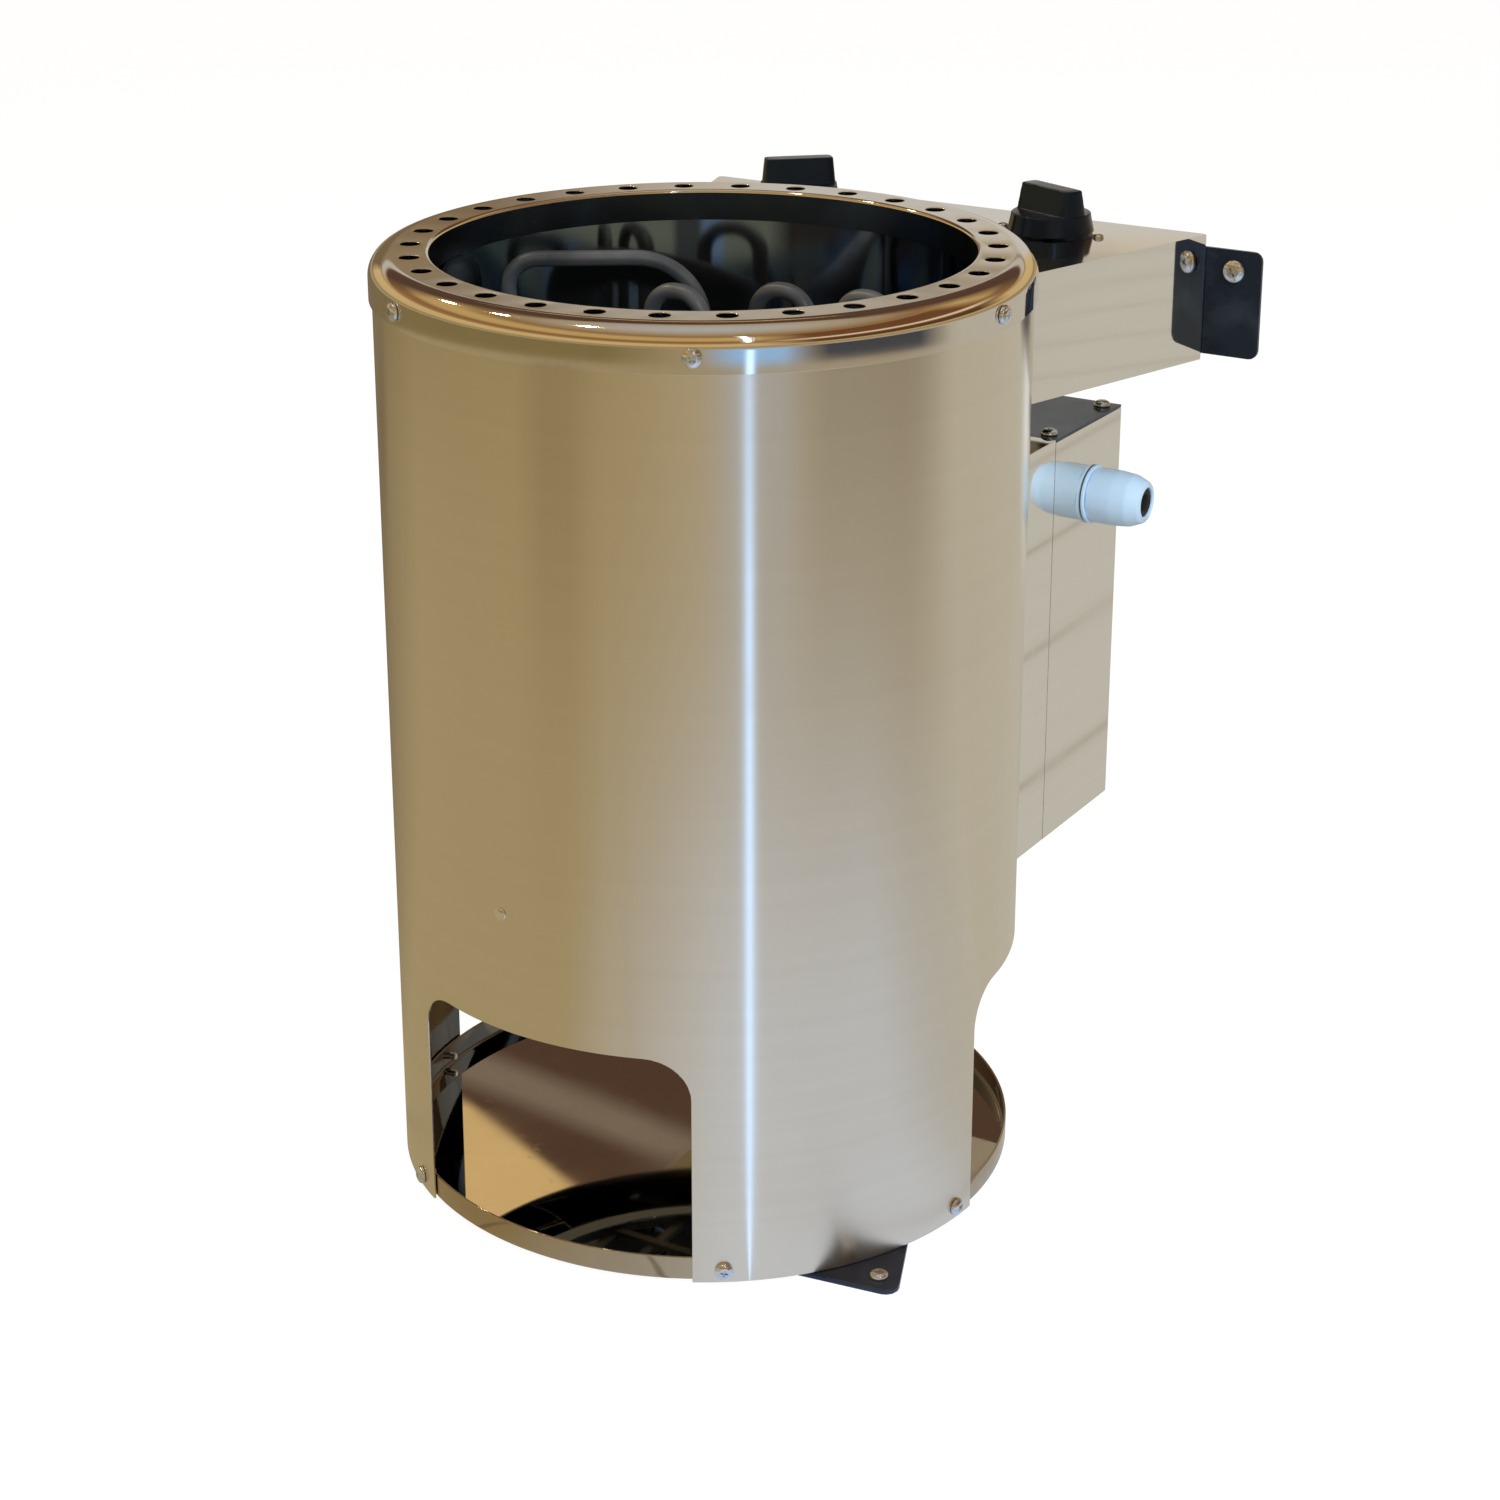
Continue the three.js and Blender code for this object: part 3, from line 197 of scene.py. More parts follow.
class SurfaceGroups:
    """Shader groups that several finishes share."""

    def __init__(self) -> None:
        """Builds each group once."""
        self.lines = self.brush_lines()
        self.marks = self.handling_marks()
        self.grain = self.moulded_grain()

    @staticmethod
    def brush_lines() -> bpy.types.NodeTree:
        """Fine polishing lines: a height and a slow change of tone.

        Returns:
            The group's tree.
        """
        graph, given, wanted = new_group(
            "brush lines", "ShaderNodeTree",
            {"Vector": "NodeSocketVector", "Fineness": "NodeSocketFloat"},
            {"Height": "NodeSocketFloat", "Tone": "NodeSocketFloat"},
        )
        fine = graph.noise(given["Vector"], given["Fineness"], 3.0)
        broad = graph.noise(given["Vector"], graph.math("MULTIPLY", given["Fineness"], 0.13), 2.0)
        graph.feed(wanted["Height"], fine)
        fine_share = graph.math("MULTIPLY", fine, 0.35)
        broad_share = graph.math("MULTIPLY", broad, 0.65)
        graph.feed(wanted["Tone"], graph.math("ADD", fine_share, broad_share))
        return graph.tree

    @staticmethod
    def handling_marks() -> bpy.types.NodeTree:
        """Soft smears and dust that dull a surface here and there.

        Returns:
            The group's tree.
        """
        graph, given, wanted = new_group(
            "handling marks", "ShaderNodeTree",
            {"Vector": "NodeSocketVector", "Scale": "NodeSocketFloat"},
            {"Mask": "NodeSocketFloat"},
        )
        cloud = graph.add(
            "ShaderNodeTexNoise",
            {"Vector": given["Vector"], "Scale": given["Scale"], "Detail": 4.0, "Distortion": 0.6},
        )
        speck = graph.noise(given["Vector"], graph.math("MULTIPLY", given["Scale"], 22.0), 1.0)
        smear = graph.spread(cloud.outputs[0], 0.0, 1.0, 0.48, 0.72)
        dust = graph.spread(speck, 0.0, 0.6, 0.66, 0.8)
        graph.feed(wanted["Mask"], graph.math("MAXIMUM", smear, dust))
        return graph.tree

    @staticmethod
    def moulded_grain() -> bpy.types.NodeTree:
        """Fine grain of a moulded or cast surface.

        Returns:
            The group's tree.
        """
        graph, given, wanted = new_group(
            "moulded grain", "ShaderNodeTree",
            {"Vector": "NodeSocketVector", "Scale": "NodeSocketFloat"},
            {"Height": "NodeSocketFloat", "Tone": "NodeSocketFloat"},
        )
        fine = graph.noise(given["Vector"], given["Scale"], 2.0)
        cell = graph.add("ShaderNodeTexVoronoi", {"Vector": given["Vector"], "Scale": given["Scale"]})
        slow = graph.noise(given["Vector"], graph.math("MULTIPLY", given["Scale"], 0.03), 3.0)
        graph.feed(wanted["Height"], graph.math("ADD", fine, cell.outputs[0]))
        graph.feed(wanted["Tone"], slow)
        return graph.tree


GROUPS = SurfaceGroups()


# Finishes


def tint(red: float, green: float, blue: float) -> Colour:
    """Colour with full alpha."""
    return (red, green, blue, 1.0)


class FinishKit:
    """Material of a finish with its shader and coordinates ready to feed."""

    def __init__(self, name: str) -> None:
        """Makes an empty material.

        Args:
            name: Name of the material.
        """
        self.material = bpy.data.materials.new(name)
        self.material.use_nodes = True
        self.graph = Graph(self.material.node_tree)
        self.shader = self.material.node_tree.nodes["Principled BSDF"]
        self.place = self.graph.add("ShaderNodeTexCoord")

    def group(
        self, tree: bpy.types.NodeTree, vector: bpy.types.NodeSocket, **values: float,
    ) -> bpy.types.Node:
        """Places a shared group in the material.

        Args:
            tree: Group to place.
            vector: Coordinates it reads.
            **values: Values of its inputs.

        Returns:
            The group node.
        """
        return self.graph.add("ShaderNodeGroup", {"Vector": vector, **values}, node_tree=tree)

    def mapped(self, vector: bpy.types.NodeSocket, scale: Sequence[float]) -> bpy.types.NodeSocket:
        """Stretches coordinates and returns them."""
        return self.graph.add("ShaderNodeMapping", {"Vector": vector, "Scale": scale}).outputs[0]

    def bump(self, height: bpy.types.NodeSocket, distance: float, strength: float) -> None:
        """Feeds a height to the shader's normal.

        Args:
            height: Height over the surface.
            distance: Size of the relief in metres.
            strength: Share of the relief that shows.
        """
        values = {"Height": height, "Distance": distance, "Strength": strength}
        relief = self.graph.add("ShaderNodeBump", values)
        self.graph.feed(self.shader.inputs["Normal"], relief.outputs[0])

    def set(self, **values: object) -> None:
        """Sets or links sockets of the shader, with underscores for spaces in their names."""
        for name, value in values.items():
            self.graph.feed(self.shader.inputs[name.replace("_", " ")], value)


@dataclass(frozen=True)
class Steel:
    """Polished or brushed steel.

    Attributes:
        name: Name of the material.
        slot: Record slot that it belongs to. It is not used.
        bright: Colour of the clean metal.
        dull: Colour in the dull lines.
        roughness: Roughness of the clean and of the marked surface.
        run: Way the polishing lines run.
        fineness: Lines per metre across their run.
        stretch: How drawn out the gloss is across the lines, from 0 to 1.
        relief: Depth of the lines in metres.
    """

    name: str
    slot: Slot
    bright: Colour
    dull: Colour
    roughness: Pair
    run: LineRun = LineRun.FREE
    fineness: float = 700.0
    stretch: float = 0.0
    relief: float = 0.00001

    def material(self) -> bpy.types.Material:
        """Builds the material.

        Returns:
            The finished material.
        """
        kit = FinishKit(self.name)
        place = kit.place.outputs["Object"]
        scales = {
            LineRun.AROUND: (0.004, 1.0, 1.0),
            LineRun.LEVEL: (0.004, 0.004, 1.0),
            LineRun.FREE: (0.25, 0.25, 0.25),
        }
        source = kit.place.outputs["UV"] if self.run is LineRun.AROUND else place
        lines = kit.group(GROUPS.lines, kit.mapped(source, scales[self.run]), Fineness=self.fineness)
        marks = kit.group(GROUPS.marks, place, Scale=7.0)
        tone = kit.graph.spread(lines.outputs["Tone"], 0.0, 1.0, 0.3, 0.7)
        kit.set(
            Base_Color=kit.graph.mix(tone, self.dull, self.bright),
            Metallic=1.0,
            Roughness=kit.graph.spread(marks.outputs["Mask"], self.roughness[0], self.roughness[1]),
        )
        kit.bump(lines.outputs["Height"], self.relief, 0.4)
        if self.stretch:
            tangent = kit.graph.add("ShaderNodeTangent", direction_type="RADIAL", axis="Z")
            kit.set(Anisotropic=self.stretch, Anisotropic_Rotation=0.25, Tangent=tangent.outputs[0])
        return kit.material


@dataclass(frozen=True)
class Coat:
    """Gloss dark coat on sheet steel, with a slight orange peel.

    Attributes:
        name: Name of the material.
        slot: Record slot that it belongs to. It is not used.
        deep: Colour of the coat.
        dusty: Colour where dust lies on it.
    """

    name: str
    slot: Slot
    deep: Colour
    dusty: Colour

    def material(self) -> bpy.types.Material:
        """Builds the material.

        Returns:
            The finished material.
        """
        kit = FinishKit(self.name)
        place = kit.place.outputs["Object"]
        marks = kit.group(GROUPS.marks, place, Scale=24.0)
        peel = kit.group(GROUPS.grain, place, Scale=420.0)
        kit.set(
            Base_Color=kit.graph.mix(marks.outputs["Mask"], self.deep, self.dusty),
            Metallic=0.1,
            Roughness=kit.graph.spread(marks.outputs["Mask"], 0.12, 0.3),
            Coat_Weight=0.35,
            Coat_Roughness=0.06,
            Coat_Tint=tint(0.7, 0.85, 1.0),
            # Painted reflection: the blue specular tint paints a bluish sheen into the coat's gloss.
            Specular_Tint=tint(0.35, 0.6, 1.0),
        )
        kit.bump(peel.outputs["Height"], 0.00002, 0.25)
        return kit.material


@dataclass(frozen=True)
class Sheath:
    """Matt sheath of a heating tube, darkened in patches by heat.

    Attributes:
        name: Name of the material.
        slot: Record slot that it belongs to. It is not used.
        pale: Colour of the bare sheath.
        scaled: Colour where heat has darkened it.
    """

    name: str
    slot: Slot
    pale: Colour
    scaled: Colour

    def material(self) -> bpy.types.Material:
        """Builds the material.

        Returns:
            The finished material.
        """
        kit = FinishKit(self.name)
        place = kit.place.outputs["Object"]
        grain = kit.group(GROUPS.grain, place, Scale=900.0)
        marks = kit.group(GROUPS.marks, place, Scale=16.0)
        heat = kit.graph.spread(grain.outputs["Tone"], 0.0, 1.0, 0.35, 0.68)
        kit.set(
            Base_Color=kit.graph.mix(heat, self.pale, self.scaled),
            Metallic=0.55,
            Roughness=kit.graph.spread(marks.outputs["Mask"], 0.34, 0.52),
        )
        kit.bump(grain.outputs["Height"], 0.00004, 0.5)
        return kit.material


@dataclass(frozen=True)
class Moulding:
    """Moulded or cast surface: plastic, rubber or ceramic.

    Attributes:
        name: Name of the material.
        slot: Record slot that it belongs to. It is not used.
        deep: Colour in the slow dark patches.
        pale: Colour in the slow pale patches.
        roughness: Roughness of the clean and of the marked surface.
        grain: Grains per metre.
        relief: Depth of the grain in metres.
        gloss: Specular level of the shader.
        sheen: Tint of its gloss; a blue tint is a painted reflection.
    """

    name: str
    slot: Slot
    deep: Colour
    pale: Colour
    roughness: Pair
    grain: float = 1500.0
    relief: float = 0.00003
    gloss: float = 0.5
    sheen: Colour = (1.0, 1.0, 1.0, 1.0)

    def material(self) -> bpy.types.Material:
        """Builds the material.

        Returns:
            The finished material.
        """
        kit = FinishKit(self.name)
        place = kit.place.outputs["Object"]
        grain = kit.group(GROUPS.grain, place, Scale=self.grain)
        marks = kit.group(GROUPS.marks, place, Scale=40.0)
        kit.set(
            Base_Color=kit.graph.mix(grain.outputs["Tone"], self.deep, self.pale),
            Roughness=kit.graph.spread(marks.outputs["Mask"], self.roughness[0], self.roughness[1]),
            Specular_IOR_Level=self.gloss,
            Specular_Tint=self.sheen,
        )
        kit.bump(grain.outputs["Height"], self.relief, 0.5)
        return kit.material


Finish = Steel | Coat | Sheath | Moulding


class Wardrobe:
    """Finishes of the heater, each built as a material once."""

    jacket = Steel(
        "satin jacket steel", Slot.POLISHED, tint(0.865, 0.805, 0.685), tint(0.84, 0.78, 0.66), (0.21, 0.24),
        LineRun.AROUND, 900.0, 0.97, 0.0000012,
    )
    rim = Steel(
        "polished rim steel", Slot.POLISHED, tint(0.83, 0.775, 0.69), tint(0.78, 0.72, 0.63), (0.06, 0.11),
        LineRun.FREE, 500.0, 0.0, 0.0000012,
    )
    box = Steel(
        "polished box steel", Slot.POLISHED, tint(0.92, 0.895, 0.845), tint(0.885, 0.855, 0.80), (0.04, 0.09),
        LineRun.LEVEL, 900.0, 0.0, 0.0000012,
    )
    # Painted shade: the tray's steel is darker and browner than the other polished steel, standing in for the
    # dim warm light low on the heater.
    tray = Steel(
        "polished tray steel", Slot.POLISHED, tint(0.56, 0.47, 0.335), tint(0.50, 0.41, 0.285), (0.10, 0.2),
        LineRun.FREE, 500.0, 0.0, 0.000002,
    )
    dish = Steel(
        "mirror tray steel", Slot.POLISHED, tint(0.76, 0.69, 0.57), tint(0.72, 0.65, 0.53), (0.02, 0.06),
        LineRun.FREE, 500.0, 0.0, 0.000001,
    )
    # Painted shade: the inner faces of the jacket and of the tray's rim get a dark bluish copy of the
    # polished steel, standing in for the shade inside the heater.
    inside = Steel(
        "dark inside steel", Slot.POLISHED, tint(0.17, 0.195, 0.25), tint(0.13, 0.15, 0.195), (0.04, 0.10),
        LineRun.FREE, 500.0, 0.0, 0.000002,
    )
    # Painted shade: the chamber is the same sheet steel as the jacket, given a dark bluish colour for the
    # shade inside it.
    chamber = Steel(
        "dark chamber steel", Slot.CHAMBER, tint(0.36, 0.44, 0.56), tint(0.31, 0.39, 0.50), (0.06, 0.09),
        LineRun.LEVEL, 500.0, 0.6, 0.0000015,
    )
    # Painted shade: the collar's inner faces get a dark bluish copy of the rim's steel, standing in for the
    # shade inside the opening.
    collar = Steel(
        "hazy collar steel", Slot.POLISHED, tint(0.25, 0.33, 0.44), tint(0.16, 0.22, 0.31), (0.2, 0.32),
        LineRun.FREE, 500.0, 0.0, 0.000002,
    )
    zinc = Steel(
        "bright zinc", Slot.ZINC, tint(0.82, 0.88, 0.96), tint(0.58, 0.62, 0.68), (0.16, 0.3),
        LineRun.FREE, 4000.0, 0.0, 0.000006,
    )
    coat = Coat("gloss dark coat", Slot.DARK, tint(0.008, 0.011, 0.020), tint(0.035, 0.040, 0.050))
    sheath = Sheath("heating tube sheath", Slot.ELEMENT, tint(0.14, 0.15, 0.162), tint(0.05, 0.053, 0.06))
    # Painted reflection: the blue gloss tint paints a bluish sheen on the black knob plastic.
    knob = Moulding(
        "black knob plastic", Slot.BLACK, tint(0.003, 0.0035, 0.005), tint(0.008, 0.009, 0.013), (0.15, 0.25),
        gloss=0.33, sheen=tint(0.35, 0.6, 1.0),
    )
    # Painted light: the pale grey plastic is given a strong blue colour, standing in for cool light falling
    # on it.
    gland = Moulding(
        "pale gland plastic", Slot.GREY, tint(0.54, 0.74, 1.0), tint(0.62, 0.82, 1.0), (0.32, 0.44),
        1200.0, 0.00002,
    )
    seal = Moulding(
        "seal rubber", Slot.RUBBER, tint(0.010, 0.010, 0.011), tint(0.028, 0.028, 0.028), (0.7, 0.85), 2200.0,
    )
    ceramic = Moulding(
        "unglazed ceramic", Slot.CERAMIC, tint(0.74, 0.70, 0.62), tint(0.86, 0.83, 0.76), (0.55, 0.7),
    )

    def __init__(self) -> None:
        """Starts with no material made."""
        self.made: dict[str, bpy.types.Material] = {}

    def material(self, finish: Finish) -> bpy.types.Material:
        """Gives the material of a finish, made on first use."""
        if finish.name not in self.made:
            self.made[finish.name] = finish.material()
        return self.made[finish.name]


WARDROBE = Wardrobe()


# Mesh tools


def link_mesh(name: str, bm: bmesh.types.BMesh) -> bpy.types.Object:
    """Puts a finished bmesh in the scene.

    Args:
        name: Name of the object.
        bm: Mesh data, which is freed.

    Returns:
        The new object.
    """
    mesh = bpy.data.meshes.new(name)
    bm.to_mesh(mesh)
    bm.free()
    obj = bpy.data.objects.new(name, mesh)
    bpy.context.scene.collection.objects.link(obj)
    return obj


def settle(obj: bpy.types.Object) -> bpy.types.Object:
    """Turns an object's modifiers into a plain mesh.

    Args:
        obj: Object with modifiers.

    Returns:
        The same object.
    """
    graph = bpy.context.evaluated_depsgraph_get()
    mesh = bpy.data.meshes.new_from_object(obj.evaluated_get(graph))
    obj.modifiers.clear()
    old = obj.data
    obj.data = mesh
    mesh.name = obj.name
    bpy.data.meshes.remove(old)
    return obj


def shade(obj: bpy.types.Object, angle: float = 32.0) -> bpy.types.Object:
    """Shades smooth, with edges sharp past an angle in degrees.

    Args:
        obj: Object to shade.
        angle: Angle between faces past which their edge is sharp.

    Returns:
        The same object.
    """
    obj.data.shade_smooth()
    obj.data.set_sharp_from_angle(angle=math.radians(angle))
    return obj


def soften(obj: bpy.types.Object, width: float, segments: int = 2, angle: float = 28.0) -> bpy.types.Object:
    """Rounds the sharp edges of a mesh and shades it smooth, with its flat faces kept level.

    Args:
        obj: Object to round.
        width: Width of the rounded edge in metres.
        segments: Facets across it.
        angle: Angle in degrees past which an edge is rounded.

    Returns:
        The same object, with a plain mesh.
    """
    obj.data.shade_smooth()
    bevel = obj.modifiers.new("edges", "BEVEL")
    bevel.width = width
    bevel.segments = segments
    bevel.limit_method = "ANGLE"
    bevel.angle_limit = math.radians(angle)
    bevel.use_clamp_overlap = True
    level = obj.modifiers.new("level faces", "WEIGHTED_NORMAL")
    level.weight = 80
    return settle(obj)


def sheet(obj: bpy.types.Object, thickness: float) -> None:
    """Gives a surface the thickness of a sheet, behind its faces, and leaves it a plain mesh.

    Args:
        obj: Object with an open surface that faces outwards.
        thickness: Thickness in metres.
    """
    wall = obj.modifiers.new("sheet", "SOLIDIFY")
    wall.thickness = thickness
    wall.offset = -1.0
    wall.use_even_offset = True
    settle(obj)


def merged(node: str) -> bmesh.types.BMesh:
    """Copies a frame node and merges its facets.

    Args:
        node: Node to copy.

    Returns:
        The copy.
    """
    bm = bmesh.new()
    bm.from_mesh(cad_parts[node].data)
    bmesh.ops.remove_doubles(bm, verts=bm.verts, dist=0.01 * MM)
    bmesh.ops.dissolve_limit(bm, angle_limit=math.radians(0.6), verts=bm.verts, edges=bm.edges)
    return bm


def refined(name: str, node: str, edge: float, segments: int = 2) -> bpy.types.Object:
    """Copies a frame node, merges its facets and rounds its edges.

    Args:
        name: Name of the new piece.
        node: Node to copy.
        edge: Width of the rounded edges in metres.
        segments: Facets across an edge.

    Returns:
        The new object.
    """
    return soften(link_mesh(name, merged(node)), edge, segments)


def plain_section(radius: float, angle: float, height: float) -> float:
    """Round section: the radius is the same at each angle."""
    return radius


def turned(
    name: str, profile: Sequence[Point], steps: int, section: Section = plain_section,
) -> bpy.types.Object:
    """Sweeps a profile round Z.

    Args:
        name: Name of the object.
        profile: Points of radius and height. An end on the axis becomes a pole; with none, it is closed.
        steps: Facets round the axis.
        section: Radius at an angle, from the profile's radius, the angle and the height.

    Returns:
        The new object, about the origin.
    """
    bm = bmesh.new()
    angles = [2 * math.pi * i / steps for i in range(steps)]
    rings = []
    for radius, z in profile:
        if radius < TINY:
            rings.append([bm.verts.new((0.0, 0.0, z))])
            continue
        reach = [(section(radius, a, z), a) for a in angles]
        rings.append([bm.verts.new((r * math.sin(a), -r * math.cos(a), z)) for r, a in reach])
    pairs = list(zip(rings, rings[1:]))
    if len(rings[0]) > 1 and len(rings[-1]) > 1:
        pairs.append((rings[-1], rings[0]))
    for low, high in pairs:
        for i in range(steps):
            j = (i + 1) % steps
            corners = [low[i % len(low)], low[j % len(low)], high[j % len(high)], high[i % len(high)]]
            bm.faces.new(list(dict.fromkeys(corners)))
    bmesh.ops.recalc_face_normals(bm, faces=bm.faces)
    return link_mesh(name, bm)


def rounded(corners: Sequence[Triple], steps: int = 4, closed: bool = False) -> list[Point]:
    """Rounds the corners of a profile.

    Args:
        corners: Points of radius and height, each with its fillet radius.
        steps: Facets of each fillet.
        closed: Whether the last point joins the first.

    Returns:
        The points of the rounded profile.
    """
    points = []
    count = len(corners)
    for i, (radius, z, fillet) in enumerate(corners):
        at = Vector((radius, z))
        if fillet <= 0 or (not closed and i in (0, count - 1)):
            points.append((radius, z))
            continue
        before = (Vector(corners[i - 1][:2]) - at).normalized()
        after = (Vector(corners[(i + 1) % count][:2]) - at).normalized()
        half = before.angle(after) / 2
        start = at + before * (fillet / math.tan(half))
        centre = at + (before + after).normalized() * (fillet / math.sin(half))
        sweep = (start - centre).angle_signed(at + after * (fillet / math.tan(half)) - centre)
        for k in range(steps + 1):
            turn = Matrix.Rotation(-sweep * k / steps, 2)
            arm = turn @ (start - centre)
            points.append((centre.x + arm.x, centre.y + arm.y))
    return points


def moved(obj: bpy.types.Object, place: Matrix) -> bpy.types.Object:
    """Moves an object's mesh, with the object left at the origin."""
    obj.data.transform(place)
    return obj


def aimed(at: Vector, direction: Vector) -> Matrix:
    """Place of a piece built along +Z, set at a point and turned to a direction."""
    return Matrix.Translation(at) @ direction.to_track_quat("Z", "Y").to_matrix().to_4x4()


AXIS_Y = sum(corner.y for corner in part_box("jacket")) / 2


def on_axis() -> Matrix:
    """Place of a piece built round the origin, on the jacket's axis."""
    return Matrix.Translation((0.0, AXIS_Y, 0.0))


def around(radius: float, azimuth: float, z: float) -> Vector:
    """Point at a radius from the jacket's axis, an azimuth in degrees and a height."""
    angle = math.radians(azimuth)
    return Vector((radius * math.sin(angle), AXIS_Y - radius * math.cos(angle), z))


def dress(
    obj: bpy.types.Object, finish: Finish, body: Body = Body.HEATER, nodes: Sequence[str] = (),
) -> None:
    """Gives a piece its finish and its body, and says which nodes it stands for.

    Args:
        obj: Piece to dress.
        finish: Finish of its whole surface.
        body: Body that it rides on.
        nodes: Frame nodes that it replaces.
    """
    obj.data.materials.clear()
    obj.data.materials.append(WARDROBE.material(finish))
    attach(obj, body.value)
    if nodes:
        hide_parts(*nodes)
    stands_for = ", ".join(nodes) or "no node"
    LOG.info("%s: %d faces on %s, for %s", obj.name, len(obj.data.polygons), body.value, stands_for)


def lined(obj: bpy.types.Object, finish: Finish, inner: Callable[[bpy.types.MeshPolygon], bool]) -> None:
    """Gives some faces of a dressed piece a further finish.

    Args:
        obj: Dressed piece.
        finish: Finish of those faces.
        inner: Test that says whether a face is one of them.
    """
    obj.data.materials.append(WARDROBE.material(finish))
    for face in obj.data.polygons:
        if inner(face):
            face.material_index = len(obj.data.materials) - 1


def faces_axis(face: bpy.types.MeshPolygon) -> bool:
    """Whether a face of a round piece looks towards the jacket's axis."""
    outward = Vector((face.center.x, face.center.y - AXIS_Y, 0.0)).normalized()
    return face.normal.dot(outward) < -0.5


# Geometry node trees


class NodeWorks:
    """Geometry node trees that make what repeats or follows a path."""

    def __init__(self) -> None:
        """Builds each tree once."""
        self.sectors = self.ring_of_sectors()
        self.tube = self.bent_tube()
        self.heads = self.set_on_points()

    @staticmethod
    def start(name: str, inputs: dict[str, str]) -> tuple[Graph, dict, dict]:
        """Makes an empty geometry tree with a geometry and a material among its sockets.

        Args:
            name: Name of the tree.
            inputs: Socket types of its further inputs by name.

        Returns:
            The tree's graph, its input sockets and its output sockets by name.
        """
        sockets = {"Geometry": "NodeSocketGeometry", **inputs, "Finish": "NodeSocketMaterial"}
        return new_group(name, "GeometryNodeTree", sockets, {"Geometry": "NodeSocketGeometry"})

    @staticmethod
    def close(graph: Graph, shape: bpy.types.NodeSocket, given: dict, wanted: dict) -> bpy.types.NodeTree:
        """Ends a tree: instances become real and take the material.

        Args:
            graph: Graph of the tree.
            shape: Geometry that it has made.
            given: Its input sockets by name.
            wanted: Its output sockets by name.

        Returns:
            The finished tree.
        """
        real = graph.add("GeometryNodeRealizeInstances", {"Geometry": shape})
        joined = graph.add(
            "GeometryNodeMergeByDistance", {"Geometry": real.outputs[0], "Distance": 0.002 * MM},
        )
        coated = graph.add(
            "GeometryNodeSetMaterial", {"Geometry": joined.outputs[0], "Material": given["Finish"]},
        )
        graph.feed(wanted["Geometry"], coated.outputs[0])
        return graph.tree

    def ring_of_sectors(self) -> bpy.types.NodeTree:
        """Repeats a sector round an upright axis.

        Returns:
            The tree.
        """
        sockets = {"Count": "NodeSocketInt", "Axis": "NodeSocketVector"}
        graph, given, wanted = self.start("ring of sectors", sockets)
        points = graph.add("GeometryNodePoints", {"Count": given["Count"], "Position": given["Axis"]})
        step = graph.math("DIVIDE", 2 * math.pi, given["Count"])
        index = graph.add("GeometryNodeInputIndex")
        turn = graph.add("ShaderNodeCombineXYZ", {"Z": graph.math("MULTIPLY", index.outputs[0], step)})
        rotation = graph.add("FunctionNodeEulerToRotation", {0: turn.outputs[0]})
        placed = graph.add(
            "GeometryNodeInstanceOnPoints",
            {"Points": points.outputs[0], "Instance": given["Geometry"], "Rotation": rotation.outputs[0]},
        )
        return self.close(graph, placed.outputs[0], given, wanted)

    def bent_tube(self) -> bpy.types.NodeTree:
        """Runs a round tube along a path whose corners carry their bend radius.

        Returns:
            The tree.
        """
        sockets = {"Tube radius": "NodeSocketFloat", "Bend facets": "NodeSocketInt"}
        graph, given, wanted = self.start("bent tube", sockets)
        path = graph.add("GeometryNodeMeshToCurve", {"Mesh": given["Geometry"]})
        bend = graph.add("GeometryNodeInputNamedAttribute", {"Name": "bend"}, data_type="FLOAT")
        smooth = graph.add(
            "GeometryNodeFilletCurve",
            {"Curve": path.outputs[0], "Radius": bend.outputs[0], "Count": given["Bend facets"]},
            mode="POLY",
        )
        ring = graph.add(
            "GeometryNodeCurvePrimitiveCircle", {"Resolution": 24, "Radius": given["Tube radius"]},
        )
        tube = graph.add(
            "GeometryNodeCurveToMesh",
            {"Curve": smooth.outputs[0], "Profile Curve": ring.outputs[0], "Fill Caps": True},
        )
        return self.close(graph, tube.outputs[0], given, wanted)

    def set_on_points(self) -> bpy.types.NodeTree:
        """Sets a pattern piece on points that carry a direction, a turn about it and a size.

        Returns:
            The tree.
        """
        graph, given, wanted = self.start("heads on points", {"Pattern": "NodeSocketObject"})
        facing = graph.add("GeometryNodeInputNamedAttribute", {"Name": "facing"}, data_type="FLOAT_VECTOR")
        spin = graph.add("GeometryNodeInputNamedAttribute", {"Name": "spin"}, data_type="FLOAT")
        size = graph.add("GeometryNodeInputNamedAttribute", {"Name": "size"}, data_type="FLOAT")
        pattern = graph.add("GeometryNodeObjectInfo", {"Object": given["Pattern"]})
        aim = graph.add("FunctionNodeAlignRotationToVector", {"Vector": facing.outputs[0]}, axis="Z")
        turn = graph.add(
            "FunctionNodeAxisAngleToRotation", {"Axis": (0.0, 0.0, 1.0), "Angle": spin.outputs[0]},
        )
        both = graph.add(
            "FunctionNodeRotateRotation",
            {"Rotation": aim.outputs[0], "Rotate By": turn.outputs[0]},
            rotation_space="LOCAL",
        )
        placed = graph.add(
            "GeometryNodeInstanceOnPoints",
            {
                "Points": given["Geometry"],
                "Instance": pattern.outputs["Geometry"],
                "Rotation": both.outputs[0],
                "Scale": size.outputs[0],
            },
        )
        return self.close(graph, placed.outputs[0], given, wanted)

